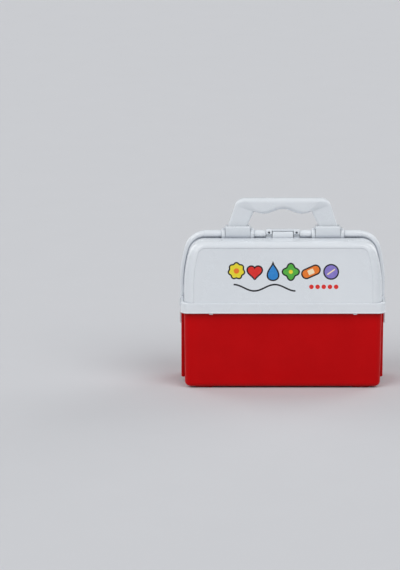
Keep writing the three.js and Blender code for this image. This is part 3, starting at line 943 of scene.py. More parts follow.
@dataclass(frozen=True)
class Crown:
    """Front outline of a lid or bead: upright, then a slow curve, then a corner to a flat top."""

    half_width: float
    top: float
    corner: float
    side: float
    lean: float = math.radians(16)

    @property
    def side_x(self) -> float:
        """Centre of the slow curve."""
        return self.half_width - self.side

    @property
    def corner_x(self) -> float:
        """Centre of the corner."""
        return self.side_x + (self.side - self.corner) * math.cos(self.lean)

    @property
    def corner_z(self) -> float:
        """Height of the corner's centre."""
        return self.top - self.corner

    @property
    def side_z(self) -> float:
        """Height of the slow curve's centre."""
        return self.corner_z - (self.side - self.corner) * math.sin(self.lean)

    def half_width_at(self, z: float, inset: float = 0.0) -> float:
        """Gives half the width at a height.

        Args:
            z: The height.
            inset: How far inside the outline.

        Returns:
            Half the width there.
        """
        corner = self.corner - inset
        side = self.side - inset
        if z <= self.side_z:
            return self.half_width - inset
        if z <= self.corner_z + corner * math.sin(self.lean):
            return self.side_x + math.sqrt(side ** 2 - (z - self.side_z) ** 2)
        return self.corner_x + math.sqrt(max(0.0, corner ** 2 - (z - self.corner_z) ** 2))

    def heights(self, low: float, inset: float = 0.0) -> list[float]:
        """Gives heights up the crown, close together round the corner.

        Args:
            low: The lowest.
            inset: How far inside the outline.

        Returns:
            The heights, upwards.
        """
        corner = self.corner - inset
        turn = self.corner_z + corner * math.sin(self.lean)
        side = [low + (turn - low) * step / SIDE_STEPS for step in range(SIDE_STEPS)]
        angles = np.linspace(self.lean, math.pi / 2, CROWN_STEPS + 1)
        return side + [self.corner_z + corner * math.sin(angle) for angle in angles]


@dataclass(frozen=True)
class LidSizes:
    """The lid's crown, its leaning faces and the panel sunk into each."""

    half_depth: float = BAND.half_depth - 2.0
    top: float = BAND.top + 64.0
    crown_inset: float = 4.0
    face_lean: float = math.radians(10)
    top_round: float = 6.4
    plan_corner: float = 10.2
    panel_depth: float = 0.5
    crown: Crown = Crown(BAND.half_width - crown_inset, top, corner=17.5, side=136.5)
    panel: Crown = Crown(
        BAND.half_width - crown_inset - plan_corner, BAND.top + 58.0, corner=8.0, side=126.3,
    )

    def half_depth_at(self, z: float, inset: float = 0.0) -> float:
        """Gives half the depth at a height: a leaning face that rolls over into the flat top.

        Args:
            z: The height.
            inset: How far inside the skin.

        Returns:
            Half the depth there.
        """
        slope = math.tan(self.face_lean)
        radius = self.top_round - inset
        centre_z = self.top - self.top_round
        if z <= centre_z + radius * math.sin(self.face_lean):
            return self.half_depth - slope * (z - BAND.top) - inset / math.cos(self.face_lean)
        centre_y = self.half_depth - slope * (centre_z - BAND.top) - self.top_round / math.cos(self.face_lean)
        return centre_y + math.sqrt(max(0.0, radius ** 2 - (z - centre_z) ** 2))

    def on_face(self, flat: np.ndarray) -> np.ndarray:
        """Lays a drawing on the front face.

        Args:
            flat: Its points: across, up the face from the band, and out from the face.

        Returns:
            Their X, Y and Z.
        """
        u, v, proud = flat.T
        sine, cosine = math.sin(self.face_lean), math.cos(self.face_lean)
        y = -self.half_depth + v * sine - proud * cosine
        return np.column_stack([u, y, BAND.top + v * cosine + proud * sine])


LID = LidSizes()


@dataclass(frozen=True)
class BeadSizes:
    """The round bead along the seam of the lid halves."""

    radius: float = 4.0
    swell: float = 0.4
    end_inset: float = 2.5
    sleeve_edge: float = 0.5
    groove_out: float = 1.0
    groove_half: float = 2.3
    groove_depth: float = 0.95
    groove_start: float = 4.0
    groove_run_out: float = 10.0
    groove_tip: float = 0.08
    probe: float = 0.05
    crown: Crown = Crown(BAND.half_width + 0.6, LID.top + 7.2, corner=23.5, side=141.5)

    @property
    def z(self) -> float:
        """Height of the bead's middle along the top."""
        return self.crown.top - self.radius


BEAD = BeadSizes()


@dataclass(frozen=True)
class HingeSizes:
    """The four hinges under the skirt."""

    x: float = TUB.half_width - 29.2
    y: float = TUB.half_depth + 1.0
    z: float = BAND.bottom + 0.2
    pin: float = 0.75
    bore: float = 1.05
    knuckle: float = 1.8
    knuckle_half: float = 2.0
    lug: Span = (2.35, 4.35)
    web_rise: float = 3.2
    web_inset: float = 0.7
    edge: float = 0.25
    pin_edge: float = 0.2


HINGE = HingeSizes()
# A lid half opens about its hinge, so at the seam it moves outwards and up along this slope
OPENING_SLOPE = (HINGE.y - HALF_SEAM) / (LID.top - HINGE.z)


@dataclass(frozen=True)
class HandleSizes:
    """The handle's feet, arms and grip."""

    x: float = 48.4
    y: float = 0.6
    base_half: float = 10.2
    pivot_y: float = 2.0
    pivot_z: float = LID.top + 4.7
    pin: float = 1.5
    bore: float = 1.8
    barrel: float = 4.0
    foot_drop: float = 1.0
    arm_thickness: float = 8.0
    arm_edge: float = 1.8
    neck_z: float = LID.top + 13.2
    shoulder_z: float = LID.top + 28.2
    top: float = LID.top + 42.7
    inner_shift: float = 7.2
    outer_shift: float = 4.9
    top_corner: float = 11.0
    grip_depth: float = 12.4
    grip_edge: float = 5.2
    wave_depth: float = 2.5
    wave_length: float = 40.0
    turn_run: float = 7.0
    barrel_edge: float = 0.4
    pin_edge: float = 0.3
    bore_reach: float = 0.3

    def rod(self, hand: Hand, radius: float, half: float, edge: float = 0.0) -> Solid:
        """Makes a rod on the axis of one foot's pin, to a half length each way."""
        x = hand.value * self.x
        return Solid.rod(radius, (x - half, x + half), self.pivot_y, self.pivot_z, edge)

    def bores(self) -> list[Solid]:
        """Makes the holes for both pins."""
        return [self.rod(hand, self.bore, SOCKET.half_width + self.bore_reach) for hand in Hand]


HANDLE = HandleSizes()


@dataclass(frozen=True)
class SocketSizes:
    """The sockets that hold the handle's feet, from the handle outwards."""

    half_depth: float = 7.5
    top: float = LID.top + 12.7
    bevel: Point = (2.3, 3.8)
    edge: float = 1.0
    side_edge: float = 0.6
    rear_round: float = 4.0
    front_wall: float = 2.5
    inner: float = HANDLE.base_half + FIT_GAP
    ear_outer: float = HANDLE.base_half + FIT_GAP + 1.2
    cover_inner: float = HANDLE.base_half + 2 * FIT_GAP + 1.2
    half_width: float = HANDLE.base_half + 2 * FIT_GAP + 2.3
    ear_radius: float = 3.2
    ear_edge: float = 0.15
    collar_width: float = 4.3
    collar_radius: float = 6.5
    collar_edge: float = 1.1
    line_width: float = 0.4
    line_depth: float = 0.9
    gusset_half: float = 3.4


SOCKET = SocketSizes()


@dataclass(frozen=True)
class LatchSizes:
    """The latch clip, its lugs and the bar that it closes over."""

    half_width: float = 18.0
    inner: float = 11.6
    lip_front: float = 3.2
    lip_thickness: float = 2.0
    front: float = 4.8
    inner_radius: float = BEAD.radius + 0.4
    back_radius: float = BEAD.radius + 1.7
    pivot_y: float = 6.6
    pivot_z: float = LID.top + 2.4
    pin: float = 0.8
    bore: float = 1.1
    barrel: float = 2.0
    floor_gap: float = 0.35
    pit: tuple[float, float, float] = (1.25, 3.6, 2.4)
    lug: Span = (18.35, 21.35)
    bar_gap: float = 0.5
    bar_lip_gap: float = 0.4
    bar_round: float = 3.0
    bar_lean: float = 0.7
    bar_back: float = 0.5
    bar_edge: float = 0.5
    set_back: float = 1.8
    brow: Span = (0.5, 0.9)
    edge: float = 0.4
    barrel_edge: float = 0.3
    pin_edge: float = 0.2

    @property
    def lip_top(self) -> float:
        """Top of the strip over the bead."""
        return BEAD.z + self.back_radius

    @property
    def lip_bottom(self) -> float:
        """Underside of the strip's lip."""
        return self.lip_top - self.lip_thickness

    def rod(self, radius: float, half: float, edge: float = 0.0) -> Solid:
        """Makes a rod on the pin's axis, to a half length each way."""
        return Solid.rod(radius, (-half, half), self.pivot_y, self.pivot_z, edge)


LATCH = LatchSizes()


@dataclass
class Workshop:
    """The finishes, mixed once and shared by the pieces."""

    white: bpy.types.Material = field(default_factory=WHITE.material)
    red: bpy.types.Material = field(default_factory=RED.material)
    steel: bpy.types.Material = field(default_factory=STEEL.material)

    def wire(self, pin: Solid, node: str) -> None:
        """Puts a wire pin in the place of its CAD node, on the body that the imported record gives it.

        Args:
            pin: The pin.
            node: The CAD node.
        """
        bodies = frame["record"]["behaviour"]["bodies"]
        body = next(body for body, nodes in bodies.items() if node in nodes)
        pin.placed(f"{node}_wire", body, self.steel, STEEL.slot, node)


# Pieces


@dataclass
class Tub:
    """The red tub with its feet, end ribs and hinge lugs."""

    shop: Workshop
    sizes: TubSizes = TUB

    def _ring(self, z: float, inset: float) -> np.ndarray:
        """Gives the wall's outline at a height, drawn in by the draft and an inset.

        Args:
            z: The height.
            inset: How far inside the outer skin.

        Returns:
            The ring.
        """
        s = self.sizes
        rise = (z - s.foot_height) / (s.rim_top - s.foot_height)
        shrink = inset + s.draft * (1 - rise)
        return level_ring(s.half_width - shrink, s.half_depth - shrink, max(s.corner - shrink, WALL), z)

    def _wall(self, bottom: float, inset: float, radius: float, top: float, edge: float = 0.0) -> Solid:
        """Makes a wall with a rounded bottom edge and a rounded rim.

        Args:
            bottom: Its lowest height.
            inset: How far inside the outer skin.
            radius: Radius of its bottom edge.
            top: Its highest height.
            edge: Radius of its rim.

        Returns:
            The filled wall.
        """
        low = [self._ring(bottom + up, inset + inward) for up, inward in quarter_round(radius, CORNER_STEPS)]
        high = [self._ring(top - down, inset + inward) for inward, down in quarter_round(edge)]
        return Solid.loft(low + high)

    def _feet(self) -> Iterable[Solid]:
        """Makes the four feet.

        Returns:
            The feet, one by one.
        """
        s = self.sizes
        length, width, radius = s.foot
        flat = rounded_rectangle(length / 2, width / 2, radius)
        reach = np.array([s.half_width - s.foot_inset[0], s.half_depth - s.foot_inset[1]])
        for sides in product((-1, 1), repeat=2):
            yield Solid.prism(
                flat + reach * sides, 0.0, s.foot_height + s.floor / 2, lambda ring: ring, s.foot_edge,
            )

    def _ribs(self) -> Iterable[Solid]:
        """Makes the flat rib up each end wall.

        Returns:
            The left and the right rib.
        """
        inner = self.sizes.half_width - WALL
        mid = (inner + RIB.outer) / 2
        for side in (-1, 1):
            rings = []
            for up, shrink in quarter_round(RIB.edge):
                flat = rounded_rectangle((RIB.outer - inner - shrink) / 2, RIB.half_width - shrink, RIB.edge)
                across = side * (mid - shrink / 2 + flat[:, 0])
                rings.append(raised(np.column_stack([across, flat[:, 1]]), RIB.bottom + up))
            rings.append(raised(rings[-1][:, :2], BAND.bottom - RIB.top_gap))
            yield Solid.loft(rings)

    def build(self) -> None:
        """Builds the tub and puts it on its body."""
        s = self.sizes
        outer = self._wall(s.foot_height, 0.0, s.bottom_corner, s.rim_top, s.rim_edge)
        inner = self._wall(s.foot_height + s.floor, WALL, s.bottom_corner - WALL, s.rim_top + OVERRUN)
        body = joined([outer, *self._ribs(), *self._feet()]) - inner
        for hinge in Hinge.every():
            body = hinge.lugs_on(body)
        body.placed("red_tub", "tub", self.shop.red, RED.slot, "tub")


@dataclass(frozen=True)
class Hinge:
    """One hinge: lugs on the tub, a knuckle on the lid half and a wire pin through both."""

    face: Face
    hand: Hand
    sizes: HingeSizes = HINGE

    @classmethod
    def every(cls) -> Iterable["Hinge"]:
        """Gives the four hinges."""
        return (cls(face, hand) for face, hand in product(Face, Hand))

    @property
    def x(self) -> float:
        """The hinge's middle."""
        return self.hand.value * self.sizes.x

    @property
    def y(self) -> float:
        """The pin's place from front to back."""
        return self.face.value * self.sizes.y

    def rod(self, radius: float, half: float, edge: float = 0.0) -> Solid:
        """Makes a rod on the hinge's axis, to a half length each way."""
        return Solid.rod(radius, (self.x - half, self.x + half), self.y, self.sizes.z, edge)

    def lugs_on(self, tub: Solid) -> Solid:
        """Cuts the pocket and adds the lugs to the tub.

        Args:
            tub: The tub so far.

        Returns:
            The tub with this hinge's lugs.
        """
        s = self.sizes
        body = tub - self.rod(s.knuckle + FIT_GAP, s.lug[0])
        root = self.face.value * (TUB.half_depth - WALL / 2)
        for side in (-1, 1):
            x = ordered(self.x + side * s.lug[0], self.x + side * s.lug[1])
            arm = Solid.box(x, ordered(self.y, root), (s.z - s.knuckle, s.z + s.knuckle))
            body = body + (Solid.rod(s.knuckle, x, self.y, s.z, s.edge) + arm)
        return body - self.rod(s.bore, s.lug[1] + OVERRUN)

    def knuckle_on(self, lid: Solid) -> Solid:
        """Cuts the room for the lugs and adds the knuckle to a lid half.

        Args:
            lid: The lid half so far.

        Returns:
            The lid half with this hinge's knuckle.
        """
        s = self.sizes
        x = (self.x - s.knuckle_half, self.x + s.knuckle_half)
        web_y = ordered(self.y, self.face.value * (BAND.half_depth - s.web_inset))
        web = Solid.box(x, web_y, (s.z, s.z + s.web_rise))
        body = lid - self.rod(s.knuckle + FIT_GAP, s.lug[1] + FIT_GAP)
        body = body + (self.rod(s.knuckle, s.knuckle_half, s.edge) + web)
        return body - self.rod(s.bore, s.lug[1])

    def build_pin(self, shop: Workshop) -> None:
        """Builds the wire pin and puts it on its body."""
        pin = self.rod(self.sizes.pin, self.sizes.lug[1], self.sizes.pin_edge)
        shop.wire(pin, f"{self.face.name.lower()}_{self.hand.name.lower()}_hinge_pin")


@dataclass
class LidTop:
    """The whole white top before it is split into its two halves."""

    band: BandSizes = BAND
    lid: LidSizes = LID
    bead: BeadSizes = BEAD
    socket: SocketSizes = SOCKET

    def _band_ring(self, z: float, inset: float) -> np.ndarray:
        """Gives the skirt band's outline at a height."""
        band = self.band
        return level_ring(band.half_width - inset, band.half_depth - inset, band.corner - inset, z)

    def _root_ring(self, z: float, reach: float) -> np.ndarray:
        """Gives an outline round the foot of the crown, a little outside it.

        Args:
            z: The height.
            reach: How far outside.

        Returns:
            The ring.
        """
        lid = self.lid
        half_width, half_depth = lid.crown.half_width_at(z), lid.half_depth_at(z)
        return level_ring(half_width + reach, half_depth + reach, lid.plan_corner + reach, z)

    def _crown_rings(self, low: float, inset: float = 0.0) -> list[np.ndarray]:
        """Gives the crown's outlines from a height up."""
        crown, corner = self.lid.crown, self.lid.plan_corner - inset
        return [
            level_ring(crown.half_width_at(z, inset), self.lid.half_depth_at(z, inset), corner, z)
            for z in crown.heights(low, inset)
        ]

    def _outside(self) -> Solid:
        """Makes the skirt band and the crown, with the band's fine lip and crease.

        Returns:
            The filled skin.
        """
        band = self.band
        edge = quarter_round(band.edge)
        low = [self._band_ring(band.bottom + up, inward) for up, inward in edge]
        lip = [
            self._band_ring(
                band.bottom + band.lip_rise + band.lip_fade * share,
                band.lip * (1 - math.cos(math.pi * share)) / 2,
            )
            for share in np.linspace(0, 1, EDGE_STEPS + 1)
        ]
        high = [self._band_ring(band.top - down, band.lip + inward) for down, inward in edge[::-1]]
        floor = band.top - band.crease_depth
        crease = [
            self._root_ring(band.top, band.crease_width),
            self._root_ring(floor, band.crease_width / 2),
            self._root_ring(floor, 0.0),
        ]
        return Solid.loft([*low, *lip, *high, *crease, *self._crown_rings(band.top)])

    def _hollow(self) -> Solid:
        """Makes the room inside."""
        ledge = self.band.top - WALL
        return Solid.loft([
            self._band_ring(self.band.bottom - OVERRUN, WALL),
            self._band_ring(ledge, WALL),
            *self._crown_rings(ledge, WALL),
        ])

    def _panel(self, face: Face) -> Solid:
        """Makes the tool for the shallow panel that is sunk into a face.

        Args:
            face: Front or rear.

        Returns:
            What is cut away.
        """
        crown, low, depth = self.lid.panel, self.band.top, self.lid.panel_depth
        cosine = math.cos(self.lid.face_lean)
        right = [(crown.half_width_at(z), (z - low) / cosine) for z in crown.heights(low)]
        left = [(-u, v) for u, v in right[::-1]]
        points = np.array(right + left[1:])
        rings = [raised(moved_in(points, inward), up - depth) for up, inward in quarter_round(depth)]
        rings.append(raised(points, OVERRUN))
        turned = [self.lid.on_face(ring) for ring in rings]
        if face is Face.REAR:
            turned = [ring * np.array([-1, -1, 1]) for ring in turned]
        return Solid.loft(turned)

    def _bead_path(self, low: float) -> list[Station]:
        """Gives the bead's outer line, over the top and down again.

        Args:
            low: The height where it starts and ends.

        Returns:
            The X, Z and angle of each station.
        """
        crown = self.bead.crown
        corner_turns = np.linspace(crown.lean, math.pi / 2, CROWN_STEPS + 1)[1:]
        arcs = (
            (crown.side_x, crown.side_z, crown.side, np.linspace(0, crown.lean, SIDE_STEPS + 1)),
            (crown.corner_x, crown.corner_z, crown.corner, corner_turns),
        )
        stations = [(crown.half_width, low, 0.0)]
        for x, z, radius, turns in arcs:
            stations += [(x + radius * math.cos(t), z + radius * math.sin(t), t) for t in turns]
        return stations + [(-x, z, math.pi - turn) for x, z, turn in stations[::-1]]

    @staticmethod
    def _swept(path: list[Station], out: list[np.ndarray], y: list[np.ndarray]) -> Solid:
        """Sweeps a section along the bead's path.

        Args:
            path: The stations.
            out: The section's points outwards from the path, at each station.
            y: Its points from front to back, at each station.

        Returns:
            The swept solid.
        """
        return Solid.loft([
            np.column_stack([x + far * math.cos(angle), near, z + far * math.sin(angle)])
            for (x, z, angle), far, near in zip(path, out, y)
        ])

    def _bead(self) -> Solid:
        """Makes the round bead.

        Returns:
            The bead.
        """
        path = self._bead_path(self.band.bottom)
        radius = self.bead.radius
        out = radius * (np.cos(BEAD_TURNS) - 1)
        return self._swept(path, [out] * len(path), [radius * np.sin(BEAD_TURNS)] * len(path))

    def _groove(self, side: int) -> Solid:
        """Makes the tool for the fine groove where the bead stands on the skin.

        Args:
            side: Which side of the bead, by the sign of its Y.

        Returns:
            What is cut away.
        """
        s = self.bead
        low = self.band.top + s.groove_start
        start, *middle, end = self._bead_path(low)
        full = low + s.groove_run_out
        path = [start, (start[0], full, start[2]), *middle, (end[0], full, end[2]), end]
        shares = [s.groove_tip, *[1.0] * (len(path) - 2), s.groove_tip]
        outs, ys = [], []
        for (x, z, angle), share in zip(path, shares):
            depth = self._skin_depth(abs(x), z, abs(math.cos(angle)), math.sin(angle))
            foot = math.sqrt(max(0.0, s.radius ** 2 - (depth - s.radius) ** 2))
            outs.append(-depth + share * s.groove_depth * np.cos(BEAD_TURNS))
            ys.append(side * (foot + s.groove_out) + share * s.groove_half * np.sin(BEAD_TURNS))
        return self._swept(path, outs, ys)

    def _skin_depth(self, x: float, z: float, across: float, up: float) -> float:
        """Gives how deep the crown's skin lies under a point of the bead's outer line.

        Args:
            x: The point's distance from the middle.
            z: Its height.
            across: Share of the way inwards that goes across.
            up: Share of the way inwards that goes down.

        Returns:
            The depth.
        """
        top, crown = self.lid.top, self.lid.crown
        most = self.bead.crown.top - top
        for depth in np.arange(0.0, most + 1.0, self.bead.probe):
            height = z - depth * up
            if height <= top and x - depth * across <= crown.half_width_at(height):
                return float(depth)
        return most

    def _sleeves(self) -> Iterable[Solid]:
        """Makes the thicker straight stretches of the bead.

        Returns:
            The stretches, one by one.
        """
        s = self.bead
        collar = self.socket.half_width + self.socket.collar_width
        outer_end = s.crown.half_width - s.crown.corner - s.end_inset
        for low, high in (
            (HANDLE.x + collar, outer_end), (LATCH.lug[1] - FIT_GAP, HANDLE.x - collar),
        ):
            for x in ((low, high), (-high, -low)):
                yield Solid.rod(s.radius + s.swell, x, 0.0, s.z, s.sleeve_edge)

    def _socket(self, x: float) -> Solid:
        """Makes a socket block with its collars and gussets.

        Args:
            x: Its middle.

        Returns:
            The filled block.
        """
        s, low, middle = self.socket, self.lid.top, self.bead.z
        run, rise = s.bevel
        root = low - WALL / 2
        outline = (
            Outline(-s.half_depth + run, root)
            .line(-s.half_depth + run, low)
            .line(-s.half_depth, low + rise)
            .arc(-s.half_depth + s.edge, s.top - s.edge, s.edge, 180, 90)
            .arc(s.half_depth - s.rear_round, s.top - s.rear_round, s.rear_round, 90, 0)
            .line(s.half_depth, root)
            .closed()
        )
        whole = Solid.prism(outline, x - s.half_width, x + s.half_width, along_x, s.side_edge)
        for side in (-1, 1):
            near = x + side * (s.half_width - s.side_edge - FIT_GAP)
            far = x + side * (s.half_width + s.collar_width)
            collar = Solid.rod(s.collar_radius, ordered(near, far), 0.0, middle, s.collar_edge)
            gusset = (
                Outline(near, middle).line(far, middle)
                .line(far, middle + s.collar_radius - s.collar_edge)
                .line(near, s.top - s.edge).closed()
            )
            whole = whole + collar + Solid.prism(gusset, -s.gusset_half, s.gusset_half, along_y)
            whole = whole - self._collar_line(x + side * s.half_width, side)
        return whole

    def _collar_line(self, x: float, side: int) -> Solid:
        """Makes the tool for the fine line between a socket block and its collar.

        Args:
            x: The block's side.
            side: Which way the collar lies.

        Returns:
            The ring to cut.
        """
        s, middle = self.socket, self.bead.z
        span = ordered(x, x + side * s.line_width)
        ring = Solid.rod(s.collar_radius + s.line_depth / 2, span, 0.0, middle)
        return ring - Solid.rod(s.collar_radius - s.line_depth, (x - OVERRUN, x + OVERRUN), 0.0, middle)

    def solid(self) -> Solid:
        """Makes the top with everything that both halves share.

        Returns:
            The whole top.
        """
        skin = joined([self._outside(), self._bead(), *self._sleeves()])
        skin = skin.without(self._groove(side) for side in (-1, 1))
        sockets = [self._socket(hand.value * HANDLE.x) for hand in Hand]
        whole = joined([skin, *sockets]) - self._hollow()
        return whole.without(self._panel(face) for face in Face)


@dataclass
class LidHalf:
    """What the front and the rear half have in common."""

    shop: Workshop
    top: Solid
    socket: SocketSizes = SOCKET
    latch: LatchSizes = LATCH
    root: float = LID.top - WALL / 2
    tab_near: float = BEAD.radius + 1.3
    tab_far: float = RIB.half_width
    tab_drop: float = 17.5
    tab_rise: float = 10.2
    tab_corner: float = 2.0
    tab_inner: float = RIB.outer + 0.3
    tab_thickness: float = 1.4
    tab_edge: float = 0.35

    def _half_space(self, face: Face) -> Solid:
        """Makes the block that holds one half.

        Args:
            face: Which half.

        Returns:
            The block.
        """
        wide = BEAD.crown.half_width + OVERRUN
        y = ordered(face.value * HALF_SEAM, face.value * (BAND.half_depth + OVERRUN))
        return Solid.box((-wide, wide), y, (BAND.bottom - OVERRUN, self.socket.top + OVERRUN))

    def _tabs(self, face: Face) -> list[Solid]:
        """Makes the flat tabs that slide down outside the ribs of the tub.

        Args:
            face: Which half.

        Returns:
            The left and the right tab.
        """
        low, high = BAND.bottom - self.tab_drop, BAND.bottom + self.tab_rise
        near, far, corner = self.tab_near, self.tab_far, self.tab_corner
        sign = face.value
        outline = (
            Outline(sign * near, high).line(sign * far, high).line(sign * far, low + corner)
            .bend((sign * far, low), (sign * (far - corner), low))
            .line(sign * (near + corner), low)
            .bend((sign * near, low), (sign * near, low + corner))
            .closed()
        )
        return Solid.pair(outline, self.tab_inner, self.tab_inner + self.tab_thickness, self.tab_edge)

    def half(self, face: Face) -> Solid:
        """Makes one half with its tabs and hinge knuckles.

        Args:
            face: Which half.

        Returns:
            The half.
        """
        body = joined([self.top & self._half_space(face), *self._tabs(face)])
        for hand in Hand:
            body = Hinge(face, hand).knuckle_on(body)
        return body

    def slots(self, half_width: float, front: float) -> Iterable[Solid]:
        """Makes the room for the handle's feet in the sockets.

        Args:
            half_width: Half the width of each room.
            front: Its lower Y.

        Returns:
            The left and the right room.
        """
        y, z = (front, self.socket.half_depth + OVERRUN), (LID.top, self.socket.top + OVERRUN)
        for hand in Hand:
            x = hand.value * HANDLE.x
            yield Solid.box((x - half_width, x + half_width), y, z)


@dataclass
class FrontLid(LidHalf):
    """The front half, with the covers over the handle pins and the bar under the latch."""

    def _bar(self) -> Solid:
        """Makes the bar that the latch closes over.

        Returns:
            The bar.
        """
        s, root = self.latch, self.root
        crest_y, crest_z = -s.front + s.bar_round, s.lip_bottom - s.bar_lip_gap
        back_z = crest_z - OPENING_SLOPE * (-s.bar_back - crest_y)
        outline = (
            Outline(-s.front, root).line(-s.bar_back, root).line(-s.bar_back, back_z)
            .line(crest_y, crest_z)
            .bend((s.bar_lean - s.front, crest_z), (-s.front, LID.top))
            .closed()
        )
        half = s.inner - s.bar_gap
        return Solid.prism(outline, -half, half, along_x, s.bar_edge)

    def _wedges(self) -> list[Solid]:
        """Makes the low wedges on each side of the bar.

        Returns:
            The left and the right wedge.
        """
        s, root = self.latch, self.root
        front = s.front - s.set_back
        outline = (
            Outline(-front, root).line(-HALF_SEAM, root).line(-HALF_SEAM, LID.top)
            .line(-front, LID.top + OPENING_SLOPE * (front - HALF_SEAM)).closed()
        )
        return Solid.pair(outline, s.inner, s.half_width)

    def build(self) -> None:
        """Builds the front half and puts it on its body."""
        s, reach = self.socket, self.latch.lug[0]
        latch_room = Solid.box((-reach, reach), (-s.half_depth, 0.0), (LID.top, s.top))
        rooms = [latch_room, *self.slots(s.cover_inner, s.front_wall - s.half_depth)]
        body = self.half(Face.FRONT).without(rooms)
        body = joined([body, self._bar(), *self._wedges()])
        body.placed("white_front_half", "front_lid", self.shop.white, WHITE.slot, "front_lid")


@dataclass
class RearLid(LidHalf):
    """The rear half, with the ears of the handle pins and the lugs of the latch."""

    def _ears(self) -> Iterable[Solid]:
        """Makes the thin ears that carry the handle pins past the seam.

        Returns:
            The ears, one by one.
        """
        s = self.socket
        for hand, side in product(Hand, (-1, 1)):
            x = hand.value * HANDLE.x
            span = ordered(x + side * s.inner, x + side * s.ear_outer)
            yield Solid.rod(s.ear_radius, span, HANDLE.pivot_y, HANDLE.pivot_z, s.ear_edge)

    def _lugs(self) -> list[Solid]:
        """Makes the posts that carry the latch pin.

        Returns:
            The left and the right post.
        """
        s, root = self.latch, self.root
        outline = (
            Outline(s.pivot_y - s.barrel, root).line(s.pivot_y + s.barrel, root)
            .arc(s.pivot_y, s.pivot_z, s.barrel, 0, 180).closed()
        )
        return Solid.pair(outline, s.lug[0], s.lug[1], s.edge)

    def build(self) -> None:
        """Builds the rear half and puts it on its body."""
        s, clip = self.socket, self.latch
        body = self.half(Face.REAR).without(self.slots(s.inner, -OVERRUN))
        body = joined([body, *self._ears()]).without(HANDLE.bores())
        room = rectangle((0.0, s.half_depth), (LID.top, s.top))
        body = body.without(Solid.pair(room, clip.inner - FIT_GAP, clip.lug[0]))
        body = joined([body, *self._lugs()]) - clip.rod(clip.bore, clip.lug[1] + OVERRUN)
        body.placed("white_rear_half", "rear_lid", self.shop.white, WHITE.slot, "rear_lid")


